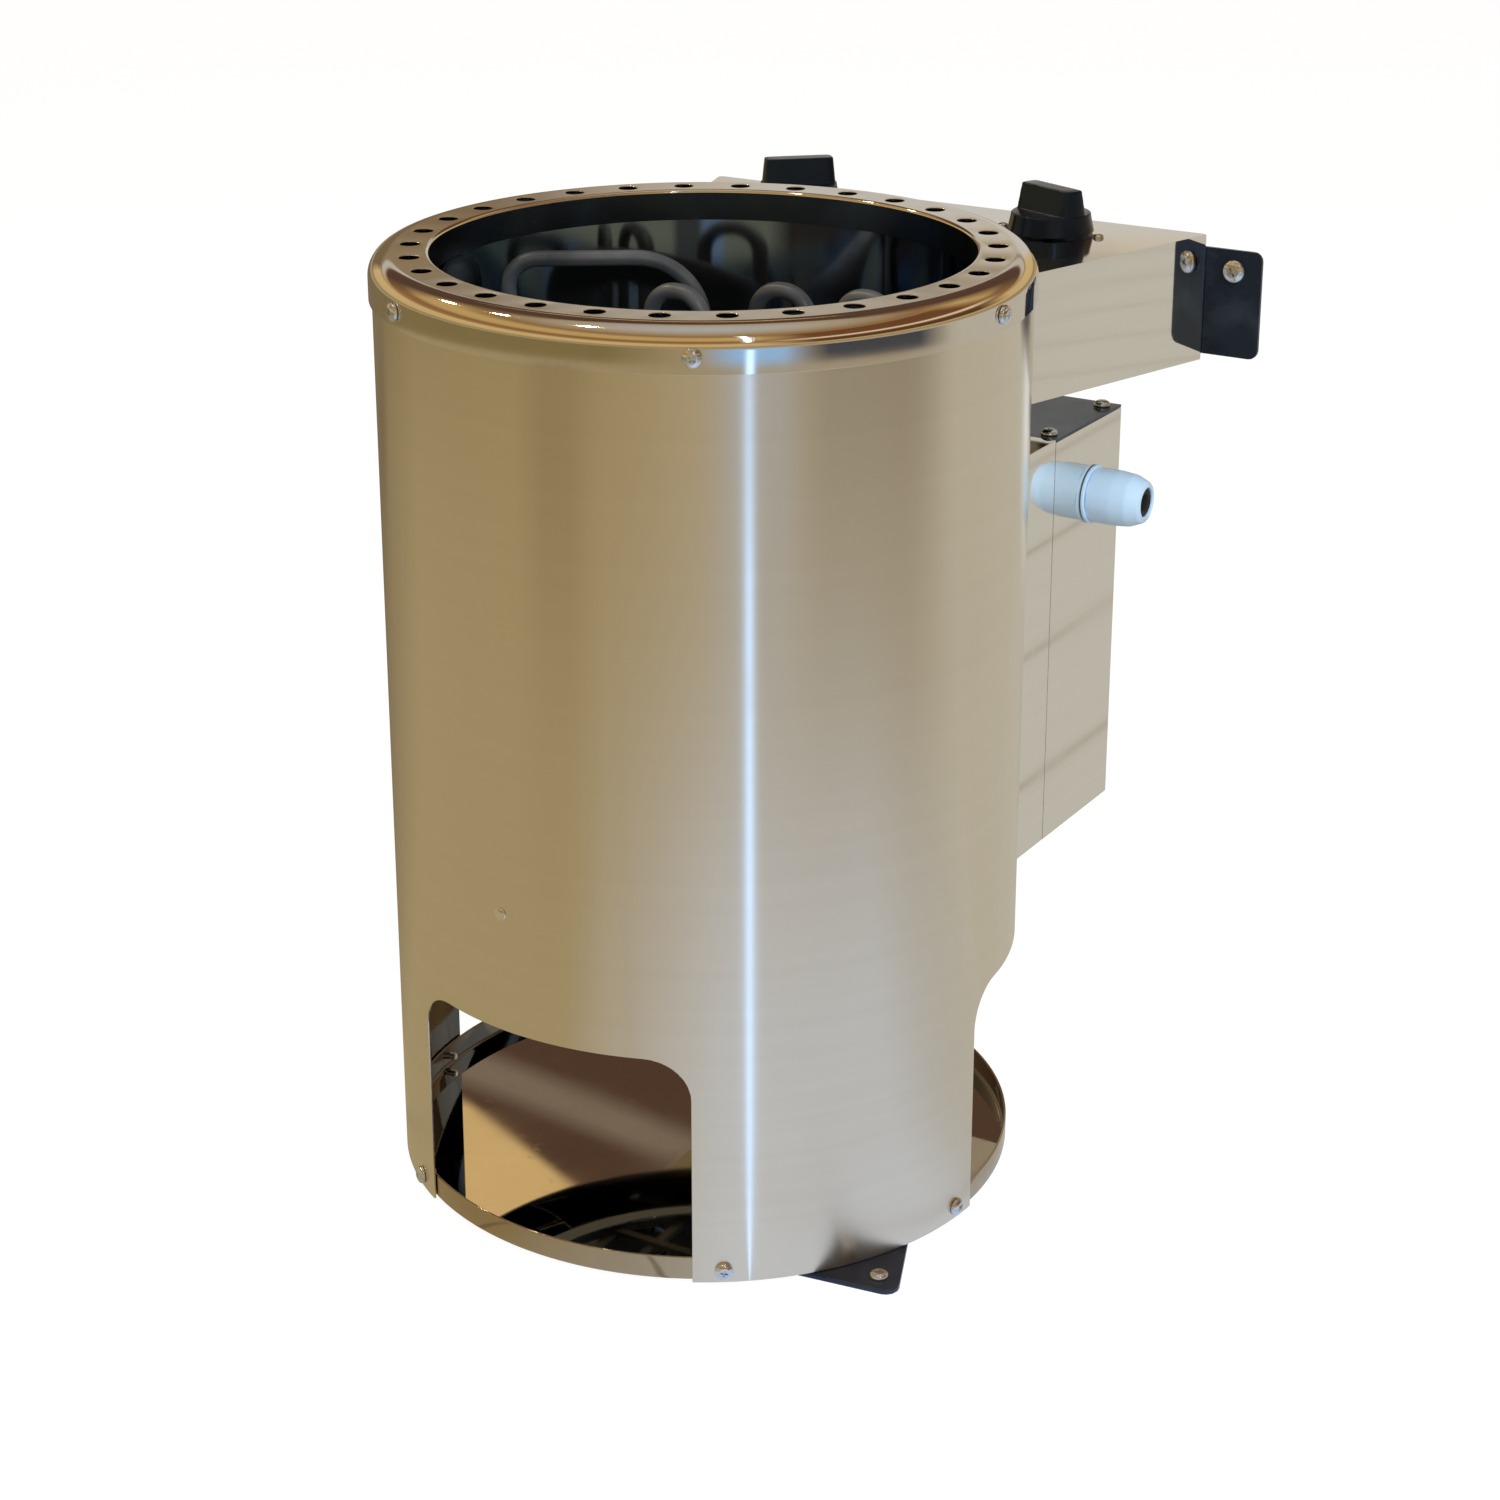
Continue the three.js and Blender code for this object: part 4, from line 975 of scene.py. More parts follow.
    @staticmethod
    def run(obj: bpy.types.Object, tree: bpy.types.NodeTree, values: dict[str, object]) -> None:
        """Runs a tree on an object and keeps the result as a plain mesh.

        Args:
            obj: Object that the tree works on.
            tree: Tree to run.
            values: Values of its inputs by name.
        """
        modifier = obj.modifiers.new(tree.name, "NODES")
        modifier.node_group = tree
        names = {item.name: item.identifier for item in tree.interface.items_tree if item.in_out == "INPUT"}
        for name, value in values.items():
            modifier[names[name]] = value
        obj.update_tag()
        settle(obj)


WORKS = NodeWorks()


# Sub-assemblies


@dataclass
class Jacket:
    """Rolled jacket with a vent at the front, a wide vent at the rear and a window behind for the tubes."""

    radius: float = 160 * MM
    thickness: float = 1.2 * MM
    bottom: float = 3.3 * MM
    top: float = 472.3 * MM
    vent_top: float = 123.3 * MM
    vent_corner: float = 21 * MM
    front_vent_half: float = 29.0
    rear_vent_start: float = 88.0
    window_half: float = 104.9 * MM
    window: Pair = (145.3 * MM, 169.3 * MM)
    middle: float = 138 * MM
    leg_rows: int = 4
    vent_rows: int = 3
    wall_rows: int = 10
    step: float = 1.5
    least_step: float = 0.45
    corner_steps: int = 9
    edge: float = 0.3 * MM
    rolled_cosine: float = 0.97

    def corner_azimuths(self) -> list[float]:
        """Azimuths on one side where the outline of a vent bends or the rear window starts.

        Returns:
            Azimuths in degrees, from the front to the rear.
        """
        found = [self.front_vent_half, self.rear_vent_start]
        found.append(180 - math.degrees(math.asin(self.window_half / self.radius)))
        half = self.radius * math.sin(math.radians(self.front_vent_half))
        rear = -self.radius * math.cos(math.radians(self.rear_vent_start))
        for k in range(self.corner_steps):
            inset = self.vent_corner * (1 - math.sin(math.radians(90 * k / self.corner_steps)))
            found.append(math.degrees(math.asin((half - inset) / self.radius)))
            found.append(math.degrees(math.acos(-(rear + inset) / self.radius)))
        return sorted(found)

    def azimuths(self) -> list[float]:
        """Azimuths of all columns, even ones and those of the vents' outlines.

        Returns:
            Azimuths in degrees from -180 up to, not including, 180.
        """
        bends = [side * a for a in self.corner_azimuths() for side in (1, -1)]
        count = round(360 / self.step)
        even = [-180 + i * self.step for i in range(count)]
        kept = [a for a in even if all(abs(a - b) > self.least_step for b in bends)]
        return sorted(kept + bends)

    def lower_edge(self, azimuth: float) -> float:
        """Height of the outline above the vents at an azimuth.

        Args:
            azimuth: Degrees from the front.

        Returns:
            Height in metres; in a leg it is where the vents' corners start.
        """
        side = abs(azimuth)
        springing = self.vent_top - self.vent_corner
        if self.front_vent_half < side < self.rear_vent_start:
            return springing
        if side <= self.front_vent_half:
            half = self.radius * math.sin(math.radians(self.front_vent_half))
            inset = half - self.radius * math.sin(math.radians(side))
        else:
            rear = self.radius * math.cos(math.radians(self.rear_vent_start))
            inset = rear - self.radius * math.cos(math.radians(side))
        past = max(0.0, self.vent_corner - inset)
        return springing + math.sqrt(max(0.0, self.vent_corner**2 - past**2))

    def surface(self) -> bmesh.types.BMesh:
        """Builds the outer face as a grid on the cylinder, with a map of its unrolled sheet.

        Returns:
            The open surface.
        """
        bm = bmesh.new()
        sheet_map = bm.loops.layers.uv.new("sheet")
        columns = self.azimuths()
        sill, head = self.window
        count = self.wall_rows
        rows = [sill, head, *(head + (self.top - head) * k / count for k in range(1, count + 1))]
        window_row = self.leg_rows + self.vent_rows + 1
        springing = self.vent_top - self.vent_corner
        grid = []
        for azimuth in columns:
            low = self.lower_edge(azimuth)
            leg = [self.bottom + (springing - self.bottom) * k / self.leg_rows for k in range(self.leg_rows)]
            vent = [low + (self.middle - low) * k / self.vent_rows for k in range(self.vent_rows + 1)]
            heights = [*leg, *vent, *rows]
            grid.append([bm.verts.new(around(self.radius, azimuth, z)) for z in heights])
        gap = 180 - math.degrees(math.asin(self.window_half / self.radius))
        for i, azimuth in enumerate(columns):
            j = (i + 1) % len(columns)
            beyond = columns[j] if j else columns[0] + 360
            centre = abs((azimuth + beyond) / 2)
            in_leg = self.front_vent_half < centre < self.rear_vent_start
            for k in range(len(grid[i]) - 1):
                if (k < self.leg_rows and not in_leg) or (k == window_row and centre > gap):
                    continue
                face = bm.faces.new([grid[i][k], grid[j][k], grid[j][k + 1], grid[i][k + 1]])
                for loop, turn in zip(face.loops, (azimuth, beyond, beyond, azimuth)):
                    loop[sheet_map].uv = (self.radius * math.radians(turn), loop.vert.co.z)
        loose = [v for v in bm.verts if not v.link_faces]
        bmesh.ops.delete(bm, geom=loose, context="VERTS")
        bm.normal_update()
        return bm

    def true_normals(self, obj: bpy.types.Object) -> None:
        """Sets the normals of the rolled faces to the cylinder's own.

        Args:
            obj: Finished jacket.
        """
        mesh = obj.data
        normals = [Vector(corner.vector) for corner in mesh.corner_normals]
        for face in mesh.polygons:
            outward = Vector((face.center.x, face.center.y - AXIS_Y, 0.0)).normalized()
            lean = face.normal.dot(outward)
            if abs(lean) < self.rolled_cosine:
                continue
            for k in face.loop_indices:
                at = mesh.vertices[mesh.loops[k].vertex_index].co
                ray = Vector((at.x, at.y - AXIS_Y, 0.0)).normalized()
                normals[k] = ray if lean > 0 else -ray
        mesh.normals_split_custom_set(normals)

    def build(self) -> None:
        """Builds and dresses the jacket."""
        obj = link_mesh("rolled_jacket", self.surface())
        sheet(obj, self.thickness)
        soften(obj, self.edge, angle=SHEET_EDGE_ANGLE)
        self.true_normals(obj)
        dress(obj, WARDROBE.jacket, nodes=["jacket"])
        # The inner faces get the steel darkened by painted shade.
        lined(obj, WARDROBE.inside, faces_axis)


@dataclass
class PerforatedRim:
    """Rim with a row of holes, a rounded outer edge, a skirt outside and a collar inside."""

    opening: float = 132 * MM
    outside: float = 161.6 * MM
    top: float = 480.3 * MM
    depth: float = 22 * MM
    collar: float = 16 * MM
    edge: float = 10.8 * MM
    lip: float = 1.6 * MM
    thickness: float = 1.2 * MM
    cut_edge: float = 0.25 * MM
    skirt_row: float = 0.3
    edge_facets: int = 12
    lip_facets: int = 5
    edge_margin: float = 0.5 * MM
    lip_margins: Pair = (0.1 * MM, 0.3 * MM)
    holes: int = 30
    hole: float = 5 * MM
    hole_circle: float = 142 * MM
    patch: Pair = (134 * MM, 150 * MM)
    columns: int = 10

    def outer_profile(self) -> list[Point]:
        """Profile from the skirt's lower edge over the rounded edge to the holes.

        Returns:
            Points of radius and height.
        """
        bend = self.outside - self.edge
        low = self.top - self.depth
        points = [(self.outside, low), (self.outside, low + self.depth * self.skirt_row)]
        for k in range(self.edge_facets + 1):
            angle = math.radians(90 * k / self.edge_facets)
            rise = self.top - self.edge + self.edge * math.sin(angle)
            points.append((bend + self.edge * math.cos(angle), rise))
        points.append((bend - self.edge_margin, self.top))
        points.append((self.patch[1], self.top))
        return points

    def inner_profile(self) -> list[Point]:
        """Profile from the holes over the lip to the collar's lower edge.

        Returns:
            Points of radius and height.
        """
        beside, below = self.lip_margins
        points = [(self.patch[0], self.top), (self.opening + self.lip + beside, self.top)]
        for k in range(self.lip_facets + 1):
            angle = math.radians(90 + 90 * k / self.lip_facets)
            points.append((
                self.opening + self.lip + self.lip * math.cos(angle),
                self.top - self.lip + self.lip * math.sin(angle),
            ))
        points.append((self.opening, self.top - self.lip - below))
        points.append((self.opening, self.top - self.collar))
        return points

    def sector(self) -> bmesh.types.BMesh:
        """Builds one sector with its hole, centred on the front.

        Returns:
            The open surface, about the origin.
        """
        bm = bmesh.new()
        half = 180 / self.holes
        turns = [math.radians(-half + 2 * half * k / self.columns) for k in range(self.columns + 1)]

        def strip(profile: Sequence[Point]) -> None:
            """Adds the faces of a profile over the sector."""
            rows = [[bm.verts.new((r * math.sin(t), -r * math.cos(t), z)) for t in turns] for r, z in profile]
            for low, high in zip(rows, rows[1:]):
                for k in range(self.columns):
                    bm.faces.new([low[k], low[k + 1], high[k + 1], high[k]])

        strip(self.outer_profile())
        strip(self.inner_profile())
        self.pierced_patch(bm, turns)
        bmesh.ops.remove_doubles(bm, verts=bm.verts, dist=0.001 * MM)
        bmesh.ops.recalc_face_normals(bm, faces=bm.faces)
        flat = max(bm.faces, key=lambda f: f.calc_center_median().z)
        if flat.normal.z < 0:
            bmesh.ops.reverse_faces(bm, faces=bm.faces)
        return bm

    def pierced_patch(self, bm: bmesh.types.BMesh, turns: Sequence[float]) -> None:
        """Adds the flat patch round the hole.

        Args:
            bm: Mesh that takes the patch.
            turns: Angles of the sector's columns in radians.
        """
        inner, outer = self.patch
        sides = 6
        border = [(inner, t) for t in turns[:-1]]
        border += [(inner + (outer - inner) * k / sides, turns[-1]) for k in range(sides)]
        border += [(outer, t) for t in reversed(turns[1:])]
        border += [(outer - (outer - inner) * k / sides, turns[0]) for k in range(sides)]
        outline = [Vector((r * math.sin(t), -r * math.cos(t), self.top)) for r, t in border]
        centre = Vector((0.0, -self.hole_circle, self.top))
        first = outline[0] - centre
        start = math.atan2(first.y, first.x)
        count = len(outline)
        way = 1 if (outline[1] - centre).cross(first).z < 0 else -1
        angles = [start + way * 2 * math.pi * k / count for k in range(count)]
        ring = [centre + self.hole * Vector((math.cos(a), math.sin(a), 0.0)) for a in angles]
        far = [bm.verts.new(p) for p in outline]
        near = [bm.verts.new(p) for p in ring]
        for k in range(count):
            j = (k + 1) % count
            bm.faces.new([near[k], near[j], far[j], far[k]])

    def build(self) -> None:
        """Builds and dresses the rim."""
        obj = link_mesh("perforated_rim", self.sector())
        finish = WARDROBE.material(WARDROBE.rim)
        WORKS.run(obj, WORKS.sectors, {"Count": self.holes, "Axis": (0.0, AXIS_Y, 0.0), "Finish": finish})
        sheet(obj, self.thickness)
        soften(obj, self.cut_edge, angle=SHEET_EDGE_ANGLE)
        dress(obj, WARDROBE.rim, nodes=["top_rim"])
        # The collar's inner faces get the steel darkened by painted shade.
        lined(obj, WARDROBE.collar, lambda face: faces_axis(face) and face.center.z < self.top - self.lip)


@dataclass
class StoneChamber:
    """Chamber in steel darkened by painted shade, with its grate, the straps that hold it and a bushing at
    each tube.
    """

    inside: float = 133.6 * MM
    thickness: float = 1.2 * MM
    bottom: float = 133.3 * MM
    top: float = 478.8 * MM
    lip: float = 10 * MM
    tube_z: float = 157.3 * MM
    tube_radius: float = 4.1 * MM
    bushing_inset: float = 2.6 * MM
    tails: tuple[float, ...] = (-92 * MM, -39 * MM, -26 * MM, 47 * MM, 61 * MM, 87 * MM)

    def build(self) -> None:
        """Builds and dresses the chamber."""
        wall = self.inside + self.thickness
        floor = self.bottom + self.thickness
        rim = self.inside - self.lip
        profile = rounded([
            (rim, self.bottom, 0.3 * MM), (wall, self.bottom, 2.5 * MM), (wall, self.top, 0.2 * MM),
            (self.inside, self.top, 0.2 * MM), (self.inside, floor, 1.4 * MM), (rim, floor, 0.3 * MM),
        ], closed=True)
        chamber = shade(moved(turned("stone_chamber_wall", profile, 180), on_axis()))
        # The chamber wall is dressed in the steel darkened by painted shade.
        dress(chamber, WARDROBE.chamber, nodes=["stone_chamber"])
        dress(refined("stone_grate_bars", "stone_grate", 0.7 * MM), WARDROBE.sheath, nodes=["stone_grate"])
        for k in range(1, 5):
            strap = refined(f"chamber_strap_bent_{k}", f"chamber_strap_{k}", 0.35 * MM)
            dress(strap, WARDROBE.box, nodes=[f"chamber_strap_{k}"])
        self.bushings()

    def bushings(self) -> None:
        """Sets a flanged bushing round each tube where it leaves the chamber."""
        bore = self.tube_radius + 0.15 * MM
        neck = bore + 2.2 * MM
        flange = bore + 4.4 * MM
        back = -3 * MM
        seat = 3 * MM
        face = 5 * MM
        profile = rounded([
            (bore, back, 0.3 * MM), (neck, back, 0.3 * MM), (neck, seat, 0.0),
            (flange, seat, 0.4 * MM), (flange, face, 0.4 * MM), (bore, face, 0.4 * MM),
        ], 2, closed=True)
        pattern = shade(turned("bushing_pattern", profile, 32))
        heads = []
        for x in self.tails:
            y = AXIS_Y + math.sqrt(self.inside**2 - x**2) - self.bushing_inset
            heads.append(Head(Vector((x, y, self.tube_z)), Vector((0.0, -1.0, 0.0))))
        bushings = Fasteners.place("tube_bushings", heads, pattern, WARDROBE.zinc)
        dress(bushings, WARDROBE.zinc)


@dataclass
class TubePath:
    """Path of a heating tube: its corners, each with the radius of its bend."""

    name: str
    node: str
    corners: list[tuple[Vector, float]] = field(default_factory=list)

    def to(self, x: float, y: float, z: float, bend: float = 0.0) -> "TubePath":
        """Adds a corner in millimetres from the jacket's axis and returns the path."""
        self.corners.append((Vector((x * MM, AXIS_Y + y * MM, z * MM)), bend * MM))
        return self


@dataclass
class HeatingElements:
    """Three bent heating tubes: a wide arch, a twin hairpin and a single hairpin, laid out in millimetres."""

    tube: float = 4.1 * MM
    bend_facets: int = 14
    low: float = 157.3
    high: float = 457.3
    bridge: float = 179.3
    end: float = 196.0
    tail_bend: float = 20.0
    twin_bend: float = 14.0
    single_bend: float = 12.0
    arch_bends: Pair = (15.0, 35.0)

    def hairpin(self, path: TubePath, left: Point, right: Point, bend: float) -> None:
        """Adds the two corners at the top of a pair of legs.

        Args:
            path: Path that takes them.
            left: Place of the first leg.
            right: Place of the second leg.
            bend: Bend radius of both.
        """
        path.to(*left, self.high, bend).to(*right, self.high, bend)

    def paths(self) -> list[TubePath]:
        """Lays out the three tubes.

        Returns:
            Their paths.
        """
        arch = TubePath("heating_tube_arch", "heating_element_left")
        arch.to(-92, self.end, self.low).to(-92, 24, self.low, self.tail_bend)
        arch.to(-124, 8, self.high, self.arch_bends[0]).to(-39, 63, self.high, self.arch_bends[1])
        arch.to(-39, 63, self.low, self.tail_bend).to(-39, self.end, self.low)
        twin = TubePath("heating_tube_twin", "heating_element_centre")
        twin.to(-26, self.end, self.low).to(-26, -7, self.low, self.tail_bend)
        self.hairpin(twin, (-26, -7), (4, -7), self.twin_bend)
        twin.to(4, -7, self.bridge, self.twin_bend).to(17, 21, self.bridge, self.twin_bend)
        self.hairpin(twin, (17, 21), (47, 21), self.twin_bend)
        twin.to(47, 21, self.low, self.tail_bend).to(47, self.end, self.low)
        single = TubePath("heating_tube_single", "heating_element_right")
        single.to(61, self.end, self.low).to(61, 29, self.low, self.tail_bend)
        self.hairpin(single, (61, 29), (87, 29), self.single_bend)
        single.to(87, 29, self.low, self.tail_bend).to(87, self.end, self.low)
        return [arch, twin, single]

    def build(self) -> None:
        """Builds and dresses the tubes."""
        for path in self.paths():
            mesh = bpy.data.meshes.new(path.name)
            count = len(path.corners)
            mesh.from_pydata([c for c, _ in path.corners], [(k, k + 1) for k in range(count - 1)], [])
            bends = mesh.attributes.new("bend", "FLOAT", "POINT")
            bends.data.foreach_set("value", [b for _, b in path.corners])
            obj = bpy.data.objects.new(path.name, mesh)
            bpy.context.scene.collection.objects.link(obj)
            finish = WARDROBE.material(WARDROBE.sheath)
            values = {"Tube radius": self.tube, "Bend facets": self.bend_facets, "Finish": finish}
            WORKS.run(obj, WORKS.tube, values)
            dress(shade(obj, angle=40.0), WARDROBE.sheath, nodes=[path.node])


@dataclass
class TrayAndFeet:
    """Polished tray that the legs stand round, and the dark feet under it."""

    outside: float = 158.4 * MM
    thickness: float = 1.2 * MM
    bottom: float = 3.3 * MM
    rim: float = 13 * MM
    flat: float = 154 * MM
    level_cosine: float = 0.9
    foot_edge: float = 0.8 * MM

    def build(self) -> None:
        """Builds and dresses the tray and the feet."""
        floor = self.bottom + self.thickness
        top = self.bottom + self.rim
        inner = self.outside - self.thickness
        profile = rounded([
            (0.0, self.bottom, 0.0), (self.flat, self.bottom, 0.0), (self.outside, self.bottom, 2.4 * MM),
            (self.outside, top, 0.5 * MM), (inner, top, 0.5 * MM), (inner, floor, 1.2 * MM),
            (self.flat, floor, 0.0), (0.0, floor, 0.0),
        ], 5)
        tray = shade(moved(turned("polished_tray", profile, 180), on_axis()))
        # The tray's steel carries painted shade, darker and browner than the rim's.
        dress(tray, WARDROBE.tray, nodes=["bottom_tray"])
        lined(tray, WARDROBE.dish, lambda face: face.normal.z > self.level_cosine)
        # The rim's inner faces get the steel darkened by painted shade.
        lined(tray, WARDROBE.inside, faces_axis)
        for side in ("right", "left", "rear"):
            foot = refined(f"foot_tab_{side}", f"foot_{side}", self.foot_edge, 3)
            dress(foot, WARDROBE.coat, nodes=[f"foot_{side}"])


@dataclass
class ControlBox:
    """Folded control box with its floor, the cases inside it and the flat brackets that hang it on a wall."""

    fold: float = 0.5 * MM
    rear_bend: float = 2.0 * MM
    bracket_edge: float = 0.7 * MM

    def hood(self) -> bpy.types.Object:
        """Builds the hood, with wider bends at its two upright rear edges.

        Returns:
            The new object.
        """
        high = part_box("control_hood")[1]
        bm = merged("control_hood")
        near = 0.1 * MM
        corners = {v for v in bm.verts if abs(v.co.y - high.y) < near and high.x - abs(v.co.x) < near}
        rear = [e for e in bm.edges if corners.issuperset(e.verts) and e.verts[0].co.x * e.verts[1].co.x > 0]
        bmesh.ops.bevel(bm, geom=rear, offset=self.rear_bend, segments=6, profile=0.5, affect="EDGES")
        return soften(link_mesh("control_box_hood", bm), self.fold, 3)

    def build(self) -> None:
        """Builds and dresses the box and its brackets."""
        dress(self.hood(), WARDROBE.box, nodes=["control_hood"])
        dress(refined("control_box_floor", "control_floor", 0.3 * MM), WARDROBE.box, nodes=["control_floor"])
        for unit in ("timer_unit", "thermostat_unit"):
            dress(refined(f"{unit}_case", unit, 1.2 * MM, 3), WARDROBE.ceramic, nodes=[unit])
        for hand in ("right", "left"):
            bracket = refined(f"wall_leaf_{hand}", f"wall_bracket_{hand}", self.bracket_edge, 3)
            dress(bracket, WARDROBE.coat, nodes=[f"wall_bracket_{hand}"])


@dataclass
class Dial:
    """Knob with a round skirt and a wedge-shaped grip, on its shaft."""

    name: str
    body: Body
    turn: float
    radius: float = 23 * MM
    neck: float = 21.2 * MM
    drum: Pair = (20.3 * MM, 19.1 * MM)
    thickness: Pair = (16 * MM, 11 * MM)
    skirt: float = 10 * MM
    height: float = 23.5 * MM
    edge: float = 0.8 * MM
    under_edge: float = 0.4 * MM
    skirt_taper: Pair = (1 * MM, 0.12 * MM)
    foot: float = 0.9 * MM
    foot_flare: float = 0.9
    foot_gap: float = 0.05 * MM
    edge_facets: int = 5
    foot_facets: int = 4
    grip_rows: int = 7
    top_share: float = 0.6
    sharpness: float = 14.0
    steps: int = 128

    def grip_section(self, inset: float, share: float) -> Callable[[float], float]:
        """Outline of the grip at a level.

        Args:
            inset: How far the outline is drawn in.
            share: Height of the level, from 0 at the skirt to 1 at the top.

        Returns:
            A function from the angle to the outline's radius.
        """
        drum = self.drum[0] + (self.drum[1] - self.drum[0]) * share - inset
        half = (self.thickness[0] + (self.thickness[1] - self.thickness[0]) * share) / 2 - inset

        def reach(angle: float) -> float:
            """Radius of the outline at an angle from the front."""
            flat = abs(math.cos(angle)) / half
            return ((1 / drum) ** self.sharpness + flat**self.sharpness) ** (-1 / self.sharpness)

        return reach

    def levels(self) -> list[tuple[float, Callable[[float], float]]]:
        """Outlines of the knob from its underside to its top.

        Returns:
            Heights over the underside, each with its outline.
        """
        def circle(radius: float) -> Callable[[float], float]:
            """Round outline of a radius."""
            return lambda angle: radius

        below, wider = self.skirt_taper
        rows = [(0.0, circle(self.radius - self.under_edge)), (self.under_edge, circle(self.radius))]
        rows.append((self.skirt - self.edge - below, circle(self.neck + wider)))
        for k in range(self.edge_facets + 1):
            bend = math.radians(90 * k / self.edge_facets)
            rise = self.skirt - self.edge + self.edge * math.sin(bend)
            rows.append((rise, circle(self.neck - self.edge * (1 - math.cos(bend)))))
        for k in range(self.foot_facets + 1):
            bend = math.radians(90 * k / self.foot_facets)
            flare = self.foot * (1 - math.sin(bend)) * self.foot_flare
            rise = self.skirt + self.foot * (1 - math.cos(bend))
            rows.append((rise, self.capped(self.grip_section(-flare, 0.0))))
        top = self.height - self.edge
        for k in range(1, self.grip_rows):
            share = k / self.grip_rows
            rise = self.skirt + self.foot + (top - self.skirt - self.foot) * share
            rows.append((rise, self.grip_section(0.0, share)))
        for k in range(self.edge_facets + 1):
            bend = math.radians(90 * k / self.edge_facets)
            rise = top + self.edge * math.sin(bend)
            rows.append((rise, self.grip_section(self.edge * (1 - math.cos(bend)), 1.0)))
        return rows

    def capped(self, section: Callable[[float], float]) -> Callable[[float], float]:
        """Keeps an outline just inside the skirt's top ring."""
        limit = self.neck - self.edge - self.foot_gap
        return lambda angle: min(limit, section(angle))

    def build(self) -> None:
        """Builds and dresses the knob and its shaft."""
        low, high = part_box(f"{self.name}_knob")
        bm = bmesh.new()
        angles = [2 * math.pi * k / self.steps for k in range(self.steps)]
        rings = []
        for rise, outline in self.levels():
            reach = [(outline(a), a) for a in angles]
            rings.append([bm.verts.new((r * math.sin(a), -r * math.cos(a), rise)) for r, a in reach])
        for lower, upper in zip(rings, rings[1:]):
            for k in range(self.steps):
                j = (k + 1) % self.steps
                bm.faces.new([lower[k], lower[j], upper[j], upper[k]])
        bm.faces.new(list(reversed(rings[0])))
        rest = 1 - self.top_share
        inner = [bm.verts.new(v.co * self.top_share + Vector((0, 0, v.co.z * rest))) for v in rings[-1]]
        for k in range(self.steps):
            j = (k + 1) % self.steps
            bm.faces.new([rings[-1][k], rings[-1][j], inner[j], inner[k]])
        bm.faces.new(inner)
        bmesh.ops.recalc_face_normals(bm, faces=bm.faces)
        centre = (low + high) / 2
        turn = Matrix.Rotation(math.radians(self.turn), 4, "Z")
        place = Matrix.Translation((centre.x, centre.y, low.z)) @ turn
        knob = shade(moved(link_mesh(f"{self.name}_knob_moulded", bm), place), SMALL_PIECE_ANGLE)
        dress(knob, WARDROBE.knob, self.body, [f"{self.name}_knob"])
        shaft = refined(f"{self.name}_shaft_turned", f"{self.name}_shaft", 0.3 * MM)
        dress(shaft, WARDROBE.zinc, self.body, [f"{self.name}_shaft"])


@dataclass
class ConnectionBox:
    """Connection box in two halves, its lid, the sleeve up to the control box and what is inside."""

    fold: float = 0.5 * MM

    def build(self) -> None:
        """Builds and dresses the box."""
        pieces = [
            ("connection_box_base", "junction_base", self.fold, 2, WARDROBE.box),
            ("connection_box_cover", "junction_cover", self.fold, 3, WARDROBE.box),
            ("connection_box_lid", "junction_lid", 0.35 * MM, 2, WARDROBE.coat),
            ("terminal_block_comb", "terminal_block", 0.6 * MM, 2, WARDROBE.ceramic),
            ("overheat_switch", "overheat_cutout", 0.5 * MM, 2, WARDROBE.knob),
        ]
        for name, node, edge, segments, finish in pieces:
            dress(refined(name, node, edge, segments), finish, nodes=[node])
        self.sleeve()

    def sleeve(self) -> None:
        """Builds the turned sleeve that takes the wires up."""
        low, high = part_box("wire_sleeve")
        collar = (high.x - low.x) / 2
        tube = collar - 4 * MM
        bore = tube - 1.2 * MM
        seat = low.z + 8.3 * MM
        crest = seat + 1.2 * MM
        profile = rounded([
            (bore, low.z, 0.3 * MM), (tube, low.z, 0.3 * MM), (tube, seat, 0.0), (collar, seat, 0.3 * MM),
            (collar, crest, 0.4 * MM), (tube, crest, 0.8 * MM), (tube, high.z, 0.3 * MM),
            (bore, high.z, 0.3 * MM),
        ], 3, closed=True)
        place = Matrix.Translation(((low.x + high.x) / 2, (low.y + high.y) / 2, 0.0))
        sleeve = shade(moved(turned("wire_sleeve_turned", profile, 64), place))
        dress(sleeve, WARDROBE.zinc, nodes=["wire_sleeve"])


